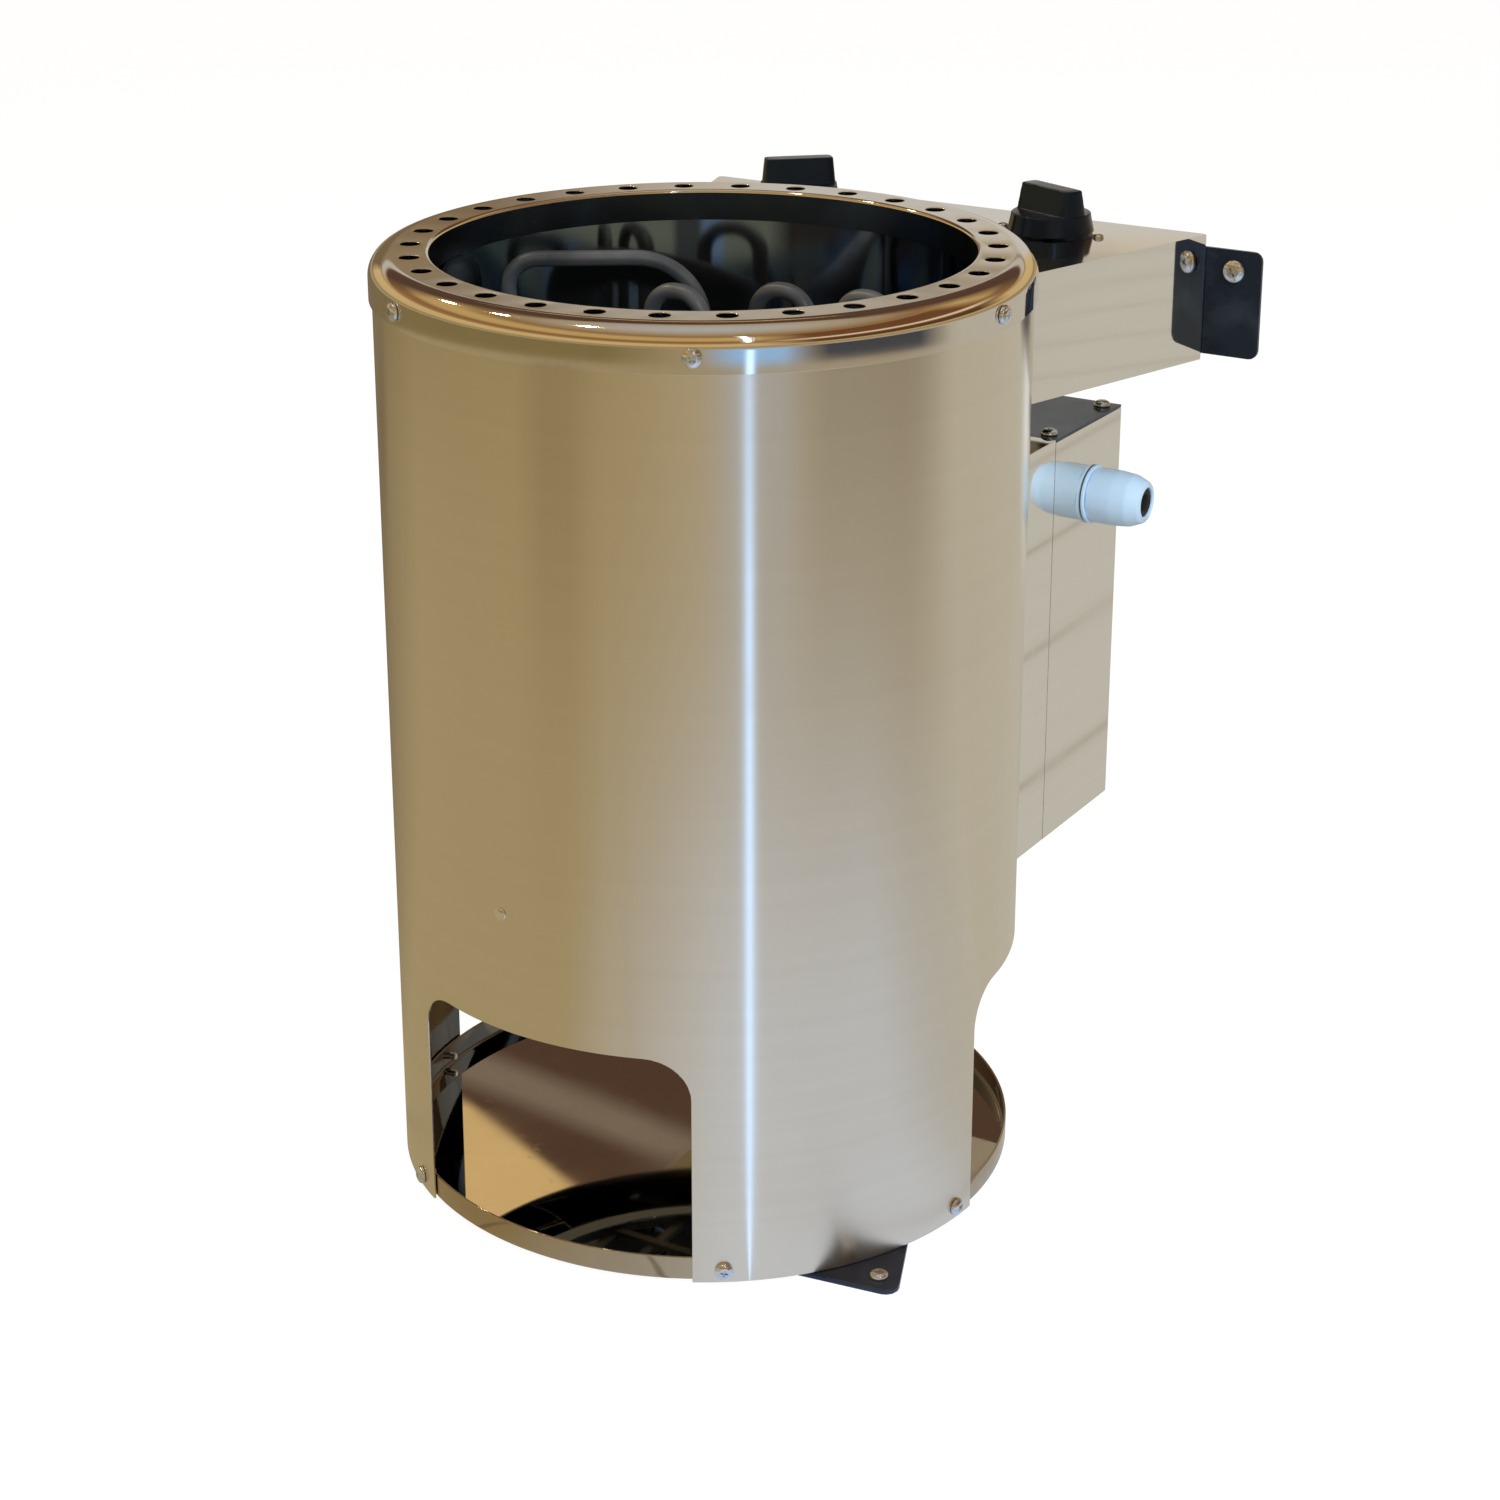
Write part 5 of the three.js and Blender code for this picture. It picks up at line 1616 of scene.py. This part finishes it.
@dataclass
class CableGland:
    """Cable gland on the connection box: flanged body, domed nut with grip flats, seal and locknut."""

    flats: int = 6
    sharpness: float = 60.0
    grip: float = 12.5 * MM
    nut_seat: float = 2.6 * MM
    nut_wall: float = 14.9 * MM
    flat_reach: float = 14.7 * MM
    steps: int = 96

    def place(self) -> Matrix:
        """Place of the gland, built along +Z from the box's wall.

        Returns:
            The matrix that lays it along +X.
        """
        low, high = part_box("gland_nut")
        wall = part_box("junction_cover")[1].x
        return aimed(Vector((wall, (low.y + high.y) / 2, (low.z + high.z) / 2)), Vector((1.0, 0.0, 0.0)))

    def nut_section(self, radius: float, angle: float, z: float) -> float:
        """Radius of the nut, with flats along its grip.

        Args:
            radius: Radius of the nut's profile.
            angle: Angle round the nut in radians.
            z: Height over the box's wall.

        Returns:
            The radius at that angle.
        """
        if radius < self.nut_wall or z > self.nut_seat + self.grip:
            return radius
        step = 2 * math.pi / self.flats
        near = (angle + step / 2) % step - step / 2
        flat = self.flat_reach / math.cos(near)
        return (radius**-self.sharpness + flat**-self.sharpness) ** (-1 / self.sharpness)

    def build(self) -> None:
        """Builds and dresses the four pieces."""
        body = rounded([
            (7.5 * MM, -11 * MM, 0.4 * MM), (12 * MM, -11 * MM, 0.6 * MM), (12 * MM, 0.3 * MM, 0.0),
            (16 * MM, 0.3 * MM, 0.4 * MM), (16 * MM, 2.3 * MM, 0.7 * MM), (10 * MM, 2.3 * MM, 0.0),
            (10 * MM, 16.3 * MM, 0.5 * MM), (7.5 * MM, 16.3 * MM, 0.4 * MM),
        ], closed=True)
        nut = rounded([
            (10.3 * MM, self.nut_seat, 0.2 * MM), (15.2 * MM, self.nut_seat, 0.8 * MM),
            (15.1 * MM, 16 * MM, 9 * MM), (14.2 * MM, 24.6 * MM, 8 * MM), (11.4 * MM, 31.4 * MM, 2.2 * MM),
            (8.6 * MM, 32.6 * MM, 0.4 * MM), (8 * MM, 31.8 * MM, 0.3 * MM), (8 * MM, 16.9 * MM, 0.0),
            (10.3 * MM, 16.9 * MM, 0.0),
        ], 6, closed=True)
        seal = rounded([
            (4.5 * MM, 22.4 * MM, 0.3 * MM), (7.7 * MM, 22.4 * MM, 0.3 * MM), (7.7 * MM, 31.4 * MM, 0.8 * MM),
            (4.5 * MM, 31.4 * MM, 1.2 * MM),
        ], closed=True)
        pieces = [
            (turned("gland_flanged_body", body, self.steps), WARDROBE.gland, "gland_body"),
            (turned("gland_domed_nut", nut, self.steps, self.nut_section), WARDROBE.gland, "gland_nut"),
            (turned("gland_rubber_seal", seal, self.steps), WARDROBE.seal, "gland_seal"),
        ]
        for obj, finish, node in pieces:
            dress(shade(moved(obj, self.place())), finish, nodes=[node])
        locknut = refined("gland_locknut_hex", "gland_locknut", 0.5 * MM)
        dress(locknut, WARDROBE.gland, nodes=["gland_locknut"])


@dataclass(frozen=True)
class Head:
    """Place of a screw or rivet: its seat, the way it faces, its turn and its size."""

    seat: Vector
    facing: Vector
    spin: float = 0.0
    size: float = 1.0


@dataclass
class Fasteners:
    """Pan-head screws with a cross recess, and one rivet in the jacket."""

    head: float = 4.6 * MM
    wide_head: float = 6.3 * MM
    crown: float = 3.0 * MM
    shank: float = 2.0 * MM
    tip_share: float = 0.7
    root_share: float = 0.82
    pitch: float = 0.8 * MM
    flank: float = 0.2 * MM
    seat: float = 0.05 * MM
    lift: float = 3.25 * MM
    sink: float = 0.02 * MM
    first_spin: float = 0.4
    spin_step: float = 1.7
    steps: int = 48
    rivet_radius: float = 160.05 * MM
    rivet_azimuth: float = -6.0
    rivet_z: float = 185 * MM
    plate_offset: float = 28 * MM
    plate_size: float = 0.62
    plate_spin: float = 0.9

    @staticmethod
    def axis_of(node: str) -> tuple[Vector, Vector]:
        """Finds how a screw of the frame stands.

        Args:
            node: Name of the screw's node.

        Returns:
            The middle of its crown and the direction that its head faces.
        """
        co = np.array([v.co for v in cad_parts[node].data.vertices], float)
        middle = co.mean(0)
        spread, ways = np.linalg.eigh(np.cov((co - middle).T))
        odd = 0 if spread[1] - spread[0] > spread[2] - spread[1] else 2
        way = ways[:, odd]
        along = (co - middle) @ way
        off = np.linalg.norm(co - middle - np.outer(along, way), axis=1)
        if off[along > 0].max() < off[along < 0].max():
            way, along = -way, -along
        base = middle + way * along.max()
        return Vector(base), Vector(way)

    def screw_pattern(self, length: float) -> bpy.types.Object:
        """Builds a screw along +Z with its seat at the origin.

        Args:
            length: Length of the shank below the seat.

        Returns:
            The pattern object.
        """
        rows = [(0.0, -length), (self.shank * self.tip_share, -length)]
        root = self.shank * self.root_share
        thread = max(2, round(length / self.pitch))
        for k in range(thread):
            z = -length + length * (k + 0.5) / thread
            rows += [(root, z - self.flank), (self.shank, z), (root, z + self.flank)]
        rows += [(self.shank, -self.seat), (self.shank, self.seat)]
        dome = rounded([
            (self.shank, self.seat, 0.0), (self.head, self.seat, 0.3 * MM), (self.head, 1.1 * MM, 0.0),
            (self.head * 0.93, 2.0 * MM, 1.4 * MM), (self.head * 0.55, self.crown, 2.0 * MM),
            (0.0, self.crown, 0.0),
        ])
        screw = turned("screw_pattern", [*rows, *dome[1:]], self.steps)
        self.cut_recess(screw)
        return shade(screw, SMALL_PIECE_ANGLE)

    def cut_recess(self, screw: bpy.types.Object) -> None:
        """Cuts a cross recess in a screw's crown.

        Args:
            screw: Pattern screw.
        """
        bm = bmesh.new()
        taper = 0.45
        blade = Matrix.Diagonal((self.head * 1.05, self.head * 0.24, 2.4 * MM, 1.0))
        raised = Matrix.Translation((0, 0, self.crown))
        for turn in (0.0, math.pi / 2):
            shape = Matrix.Rotation(turn, 4, "Z") @ raised @ blade
            made = bmesh.ops.create_cube(bm, size=1.0, matrix=shape)["verts"]
            for vert in made:
                if vert.co.z < self.crown:
                    vert.co.x *= taper
                    vert.co.y *= taper
        tool = link_mesh("recess_tool", bm)
        cut = screw.modifiers.new("recess", "BOOLEAN")
        cut.object = tool
        cut.operation = "DIFFERENCE"
        cut.solver = "EXACT"
        cut.use_self = True
        settle(screw)
        bpy.data.objects.remove(tool)

    @staticmethod
    def place(
        name: str, heads: Sequence[Head], pattern: bpy.types.Object, finish: Finish,
    ) -> bpy.types.Object:
        """Sets a pattern piece at each place.

        Args:
            name: Name of the finished piece.
            heads: Places.
            pattern: Pattern object, which is removed.
            finish: Finish of the piece.

        Returns:
            One object with all of them.
        """
        mesh = bpy.data.meshes.new(name)
        mesh.from_pydata([h.seat for h in heads], [], [])
        facing = [c for h in heads for c in h.facing.normalized()]
        mesh.attributes.new("facing", "FLOAT_VECTOR", "POINT").data.foreach_set("vector", facing)
        mesh.attributes.new("spin", "FLOAT", "POINT").data.foreach_set("value", [h.spin for h in heads])
        mesh.attributes.new("size", "FLOAT", "POINT").data.foreach_set("value", [h.size for h in heads])
        obj = bpy.data.objects.new(name, mesh)
        bpy.context.scene.collection.objects.link(obj)
        WORKS.run(obj, WORKS.heads, {"Pattern": pattern, "Finish": WARDROBE.material(finish)})
        bpy.data.objects.remove(pattern)
        return obj

    def heads_of(self, nodes: Sequence[str], size: float = 1.0) -> list[Head]:
        """Places of screws of the frame.

        Args:
            nodes: Names of the screws' nodes.
            size: Size of their heads against the pattern's.

        Returns:
            Their places, each with a turn of its own.
        """
        heads = []
        for k, node in enumerate(nodes):
            crown, way = self.axis_of(node)
            seat = crown - way * (self.lift - self.sink)
            heads.append(Head(seat, way, self.first_spin + self.spin_step * k, size))
        return heads

    def build(self) -> None:
        """Builds and dresses all fasteners."""
        names = sorted(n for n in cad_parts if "screw" in n)
        mounting = [n for n in names if n.startswith(("foot_", "bracket_", "wall_"))]
        fixing = [n for n in names if n not in mounting]
        heads = self.heads_of(fixing)
        screws = self.place("fixing_screws", heads, self.screw_pattern(6.8 * MM), WARDROBE.zinc)
        dress(shade(screws, SMALL_PIECE_ANGLE), WARDROBE.zinc, nodes=fixing)
        wide = [n for n in mounting if n.startswith("wall_")]
        narrow = [n for n in mounting if n not in wide]
        heads = self.heads_of(narrow) + self.heads_of(wide, self.wide_head / self.head)
        screws = self.place("mounting_screws", heads, self.screw_pattern(1.5 * MM), WARDROBE.zinc)
        dress(shade(screws, SMALL_PIECE_ANGLE), WARDROBE.zinc, nodes=mounting)
        self.rivet()
        self.plate_screws()

    def rivet(self) -> None:
        """Sets the rivet in the jacket's front."""
        profile = rounded([
            (0.0, -2.5 * MM, 0.0), (1.6 * MM, -2.5 * MM, 0.3 * MM), (1.6 * MM, 0.0, 0.0),
            (3.4 * MM, 0.0, 0.2 * MM), (3.2 * MM, 0.7 * MM, 0.5 * MM), (1.2 * MM, 1.1 * MM, 0.6 * MM),
            (0.0, 1.1 * MM, 0.0),
        ])
        seat = around(self.rivet_radius, self.rivet_azimuth, self.rivet_z)
        way = around(1.0, self.rivet_azimuth, 0.0) - around(0.0, 0.0, 0.0)
        pattern = shade(turned("rivet_pattern", profile, 40))
        dress(self.place("jacket_rivet", [Head(seat, way)], pattern, WARDROBE.box), WARDROBE.box)

    def plate_screws(self) -> None:
        """Sets the small screws that hold the timer and the thermostat under the box's roof."""
        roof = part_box("control_hood")[1].z
        heads = []
        for name in ("timer_knob", "thermostat_knob"):
            low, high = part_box(name)
            centre = (low + high) / 2
            for k, offset in enumerate((self.plate_offset, -self.plate_offset)):
                seat = Vector((centre.x + offset, centre.y, roof))
                heads.append(Head(seat, Vector((0, 0, 1)), self.plate_spin * k, self.plate_size))
        screws = self.place("plate_screws", heads, self.screw_pattern(1.7 * MM), WARDROBE.zinc)
        dress(shade(screws, SMALL_PIECE_ANGLE), WARDROBE.zinc)


# Stage


@dataclass
class Lamp:
    """Soft lamp of the studio, which polished faces may mirror or not."""

    name: str
    at: Triple
    to: Triple
    size: Pair
    power: float
    colour: Triple = (1.0, 1.0, 1.0)
    mirrored: bool = True

    def build(self) -> None:
        """Adds the lamp to the scene."""
        light = bpy.data.lights.new(self.name, "AREA")
        light.shape = "RECTANGLE"
        light.size, light.size_y = self.size
        light.energy = self.power
        light.color = self.colour
        obj = bpy.data.objects.new(self.name, light)
        bpy.context.scene.collection.objects.link(obj)
        obj.location = self.at
        obj.rotation_euler = (Vector(self.to) - Vector(self.at)).to_track_quat("-Z", "Y").to_euler()
        obj.visible_camera = False
        obj.visible_glossy = self.mirrored


@dataclass(frozen=True)
class Zone:
    """Soft patch of colour in what the steel mirrors, by azimuth and by a second measure.

    Attributes:
        azimuth: Middle of the patch and half its width, in degrees.
        span: Least and greatest second measure, a distance on the floor or an elevation above it.
        soft: Width of its soft edges in both measures.
        colour: Colour of the patch.
        centre: Point of the floor that both are measured from, against the jacket's axis.
        lean: Degrees that the middle turns for each step of the second measure from the least one.
    """

    azimuth: Pair
    span: Pair
    soft: Pair
    colour: Colour
    centre: Point = (0.0, 0.0)
    lean: float = 0.0

    def over(
        self, graph: Graph, azimuth: bpy.types.NodeSocket, measure: bpy.types.NodeSocket, below: object,
    ) -> bpy.types.NodeSocket:
        """Lays the patch over a colour.

        Args:
            graph: Graph that takes the nodes.
            azimuth: Azimuth in degrees.
            measure: Second measure.
            below: Colour under the patch.

        Returns:
            The colour with the patch.
        """
        middle, half = self.azimuth
        turn, blur = self.soft
        if self.lean:
            lead = graph.math("MULTIPLY", graph.math("SUBTRACT", measure, self.span[0]), self.lean)
            azimuth = graph.math("SUBTRACT", azimuth, lead)
        offset = graph.math("SUBTRACT", azimuth, middle)
        away = graph.add("ShaderNodeMath", {0: offset, 1: 180.0, 2: -180.0}, operation="WRAP")
        aside = graph.spread(graph.math("ABSOLUTE", away.outputs[0]), 1.0, 0.0, half - turn, half + turn)
        past = graph.spread(measure, 0.0, 1.0, self.span[0] - blur, self.span[0] + blur)
        short = graph.spread(measure, 1.0, 0.0, self.span[1] - blur, self.span[1] + blur)
        mask = graph.math("MULTIPLY", aside, graph.math("MULTIPLY", past, short))
        return graph.mix(mask, below, self.colour)


@dataclass
class Studio:
    """Pale floor, plain surroundings, soft lamps and the camera."""

    azimuth: float = 31.0
    elevation: float = 19.69
    distance: float = 1.6
    sensor: float = 36.0
    focal: float = 2.0535
    aim: Pair = (-0.0042, 0.267)
    shift: float = -0.08
    floor_half: float = 30.0
    floor_glow: float = 1.17
    floor_shadow: float = 0.2
    board_tone: Colour = (0.405, 0.33, 0.19, 1.0)
    joint_tone: Colour = (0.20, 0.14, 0.08, 1.0)
    first_joint: float = 0.2845
    board: float = 0.11
    joint_depth: float = 0.6
    joint_edge: Pair = (0.001, 0.003)

    def build(self) -> None:
        """Builds the stage."""
        bpy.context.scene.view_settings.view_transform = "Standard"
        self.floor()
        self.surroundings()
        for lamp in self.lamps():
            lamp.build()
        self.camera()

    @staticmethod
    def floor_zones() -> list[Zone]:
        """Patches of the floor in reflections, with their distance from the heater.

        Returns:
            The patches, later ones on top.
        """
        return [
            Zone((-60.0, 75.0), (1.865, 5.0), (15.0, 0.02), tint(0.24, 0.185, 0.08)),
            Zone((-17.0, 10.0), (1.3, 1.7), (5.0, 0.12), tint(0.09, 0.07, 0.042)),
            Zone((-117.0, 7.0), (1.3, 1.7), (3.0, 0.12), tint(0.05, 0.042, 0.03)),
            Zone((-152.0, 48.0), (-1.0, 6.0), (22.0, 0.3), tint(0.20, 0.15, 0.09)),
            Zone((85.0, 45.0), (0.3, 6.0), (25.0, 0.3), tint(0.44, 0.385, 0.28)),
            Zone((150.0, 37.0), (-1.0, 6.0), (12.0, 0.3), tint(0.54, 0.515, 0.455)),
            Zone((60.0, 48.0), (-1.0, 0.78), (24.0, 0.26), tint(0.60, 0.65, 0.76)),
            Zone((49.0, 13.0), (1.865, 3.4), (6.0, 0.02), tint(0.33, 0.57, 0.96)),
            Zone((89.0, 24.0), (1.865, 3.4), (7.0, 0.02), tint(0.06, 0.066, 0.085)),
            Zone((180.0, 5.0), (1.2, 3.4), (3.0, 0.2), tint(0.88, 0.91, 0.95)),
            Zone((47.0, 1.2), (-1.0, 2.2), (0.7, 0.1), tint(1.15, 1.75, 2.9), (0.1007, -0.1243)),
        ]

    @staticmethod
    def wall_zones() -> list[Zone]:
        """Patches of the surroundings in reflections, with their elevation in degrees.

        Returns:
            The patches, later ones on top.
        """
        return [
            Zone((211.0, 40.0), (12.9, 13.75), (12.0, 0.35), tint(0.17, 0.14, 0.115)),
            Zone((211.0, 30.0), (13.75, 17.0), (8.0, 0.35), tint(0.55, 0.51, 0.45)),
            Zone((211.0, 40.0), (17.0, 60.0), (12.0, 0.8), tint(0.10, 0.056, 0.038)),
            Zone((218.5, 0.9), (27.0, 29.6), (0.5, 0.2), tint(0.24, 0.19, 0.15), lean=-2.7),
            Zone((220.0, 3.0), (28.2, 40.0), (0.15, 0.15), tint(0.74, 0.53, 0.25), lean=-1.37),
            Zone((224.0, 12.0), (-2.0, 13.0), (3.0, 1.0), tint(0.20, 0.138, 0.08)),
            Zone((204.0, 9.0), (-2.0, 12.6), (3.0, 0.5), tint(0.60, 0.585, 0.555)),
            Zone((104.0, 44.0), (5.0, 17.0), (10.0, 1.5), tint(0.11, 0.05, 0.025)),
            Zone((104.0, 44.0), (19.0, 24.0), (10.0, 1.0), tint(0.80, 0.66, 0.46)),
            Zone((104.0, 44.0), (25.0, 46.0), (10.0, 1.5), tint(0.17, 0.07, 0.03)),
        ]

    @staticmethod
    def heading(graph: Graph, way: bpy.types.NodeSocket) -> tuple[bpy.types.NodeSocket, bpy.types.NodeSocket]:
        """Azimuth of a vector in degrees, and its height.

        Args:
            graph: Graph that takes the nodes.
            way: Vector.

        Returns:
            The azimuth's and the height's output sockets.
        """
        parts = graph.add("ShaderNodeSeparateXYZ", {0: way})
        front = graph.math("MULTIPLY", parts.outputs["Y"], -1.0)
        turn = graph.math("ARCTAN2", parts.outputs["X"], front)
        return graph.math("DEGREES", turn), parts.outputs["Z"]

    def floor(self) -> None:
        """Lays a floor that is pale to the eye and warm in reflections."""
        bm = bmesh.new()
        bmesh.ops.create_grid(bm, x_segments=1, y_segments=1, size=self.floor_half)
        obj = link_mesh("studio_floor", bm)
        material = bpy.data.materials.new("pale floor")
        material.use_nodes = True
        material.node_tree.nodes.clear()
        graph = Graph(material.node_tree)
        place = graph.add("ShaderNodeTexCoord").outputs["Object"]
        mirrored: object = self.board_tone
        for zone in self.floor_zones():
            start = (zone.centre[0], AXIS_Y + zone.centre[1], 0.0)
            out = graph.add("ShaderNodeVectorMath", {0: place, 1: start}, operation="SUBTRACT").outputs[0]
            azimuth, _ = self.heading(graph, out)
            reach = graph.add("ShaderNodeVectorMath", {0: out}, operation="LENGTH").outputs["Value"]
            mirrored = zone.over(graph, azimuth, reach, mirrored)
        mirrored = self.boards(graph, place, mirrored)
        glow = graph.add("ShaderNodeEmission", {"Color": mirrored, "Strength": 1.0})
        pale = graph.add("ShaderNodeBsdfDiffuse", {"Color": tint(0.84, 0.90, 1.0)})
        lit = graph.add("ShaderNodeEmission", {"Color": tint(1.0, 1.0, 1.0), "Strength": self.floor_glow})
        seen = graph.add("ShaderNodeMixShader", {0: self.floor_shadow, 1: lit.outputs[0], 2: pale.outputs[0]})
        self.split(graph, glow, seen, "ShaderNodeOutputMaterial")
        obj.data.materials.append(material)

    def boards(self, graph: Graph, place: bpy.types.NodeSocket, below: object) -> bpy.types.NodeSocket:
        """Draws the joints between floor boards over a colour.

        Args:
            graph: Graph that takes the nodes.
            place: Point of the floor.
            below: Colour of the boards.

        Returns:
            The colour with the joints.
        """
        across = graph.add("ShaderNodeSeparateXYZ", {0: place}).outputs["X"]
        from_joint = graph.math("PINGPONG", graph.math("SUBTRACT", across, self.first_joint), self.board / 2)
        mask = graph.spread(from_joint, self.joint_depth, 0.0, *self.joint_edge)
        return graph.mix(mask, below, self.joint_tone)

    @staticmethod
    def split(graph: Graph, mirrored: bpy.types.Node, seen: bpy.types.Node, output: str) -> None:
        """Ends a tree with one shader for the camera and another for all other rays.

        Args:
            graph: Graph of the tree.
            mirrored: Shader that other rays meet.
            seen: Shader that the camera sees.
            output: Type of the output node.
        """
        path = graph.add("ShaderNodeLightPath")
        both = graph.add(
            "ShaderNodeMixShader",
            {0: path.outputs["Is Camera Ray"], 1: mirrored.outputs[0], 2: seen.outputs[0]},
        )
        end = graph.add(output)
        graph.feed(end.inputs["Surface"], both.outputs[0])

    def surroundings(self) -> None:
        """Sets surroundings that are white to the eye and a warm room in reflections."""
        world = bpy.data.worlds.new("studio")
        world.use_nodes = True
        bpy.context.scene.world = world
        world.node_tree.nodes.clear()
        graph = Graph(world.node_tree)
        azimuth, height = self.heading(graph, graph.add("ShaderNodeTexCoord").outputs["Generated"])
        elevation = graph.math("DEGREES", graph.math("ARCSINE", height))
        ramp = graph.add("ShaderNodeValToRGB", {0: height})
        stops = [
            (0.0, tint(0.30, 0.20, 0.09)), (0.05, tint(0.62, 0.46, 0.22)), (0.22, tint(0.66, 0.48, 0.22)),
            (0.30, tint(0.33, 0.18, 0.075)), (0.42, tint(0.28, 0.145, 0.06)), (0.50, tint(0.55, 0.37, 0.145)),
            (0.64, tint(0.58, 0.40, 0.165)), (0.76, tint(0.30, 0.17, 0.07)), (0.92, tint(0.44, 0.37, 0.27)),
            (1.0, tint(0.46, 0.48, 0.50)),
        ]
        elements = ramp.color_ramp.elements
        while len(elements) < len(stops):
            elements.new(0.5)
        for element, (position, colour) in zip(elements, stops):
            element.position = position
            element.color = colour
        mirrored: object = ramp.outputs[0]
        for zone in self.wall_zones():
            mirrored = zone.over(graph, azimuth, elevation, mirrored)
        room = graph.add("ShaderNodeBackground", {"Color": mirrored, "Strength": 1.0})
        white = graph.add("ShaderNodeBackground", {"Color": tint(1.0, 1.0, 1.0), "Strength": 1.0})
        self.split(graph, room, white, "ShaderNodeOutputWorld")

    @staticmethod
    def lamps() -> list[Lamp]:
        """Places the studio's lamps.

        Returns:
            The lamps.
        """
        lamps = [
            Lamp("overhead", (-0.3, -0.4, 2.2), (0, 0, 0.3), (1.6, 1.6), 14.0, (0.95, 0.97, 1.0), False),
            Lamp("key", (1.5, -1.1, 1.5), (0, 0.1, 0.35), (1.2, 1.2), 42.0, (0.74, 0.89, 1.0), False),
            Lamp("strip", (1.198, -1.199, 1.5), (0, 0, 0.4), (0.012, 0.9), 0.9, (0.5, 0.76, 1.0)),
        ]
        for k, at in enumerate([(-1.671, 0.2, 1.899), (-1.35, -0.245, 2.222), (-0.641, -0.693, 2.514)]):
            lamps.append(Lamp(f"spot_{k}", at, (0, -0.1, 0.45), (0.11, 0.11), 2.2, (1.0, 0.86, 0.52)))
        return lamps

    def camera(self) -> None:
        """Sets the camera near the photograph's viewing angle."""
        turn, rise = math.radians(self.azimuth), math.radians(self.elevation)
        back = Vector((math.sin(turn) * math.cos(rise), -math.cos(turn) * math.cos(rise), math.sin(rise)))
        right = Vector((math.cos(turn), math.sin(turn), 0.0))
        target = right * self.aim[0] + Vector((0, 0, self.aim[1]))
        data = bpy.data.cameras.new("studio_camera")
        data.sensor_width = self.sensor
        data.lens = self.focal * self.sensor
        data.shift_y = self.shift
        data.clip_start = 0.05
        obj = bpy.data.objects.new("studio_camera", data)
        bpy.context.scene.collection.objects.link(obj)
        obj.location = target + back * self.distance
        obj.rotation_euler = (-back).to_track_quat("-Z", "Y").to_euler()
        bpy.context.scene.camera = obj


def main() -> None:
    """Builds the heater and its stage."""
    logging.basicConfig(level=logging.INFO, format="%(name)s: %(message)s")
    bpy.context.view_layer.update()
    assemblies = [
        Jacket(), PerforatedRim(), StoneChamber(), HeatingElements(), TrayAndFeet(), ControlBox(),
        Dial("timer", Body.TIMER, 42.0), Dial("thermostat", Body.THERMOSTAT, -22.0),
        ConnectionBox(), CableGland(), Fasteners(), Studio(),
    ]
    for assembly in assemblies:
        assembly.build()
        LOG.info("%s: done", type(assembly).__name__)


if __name__ == "__main__":
    main()
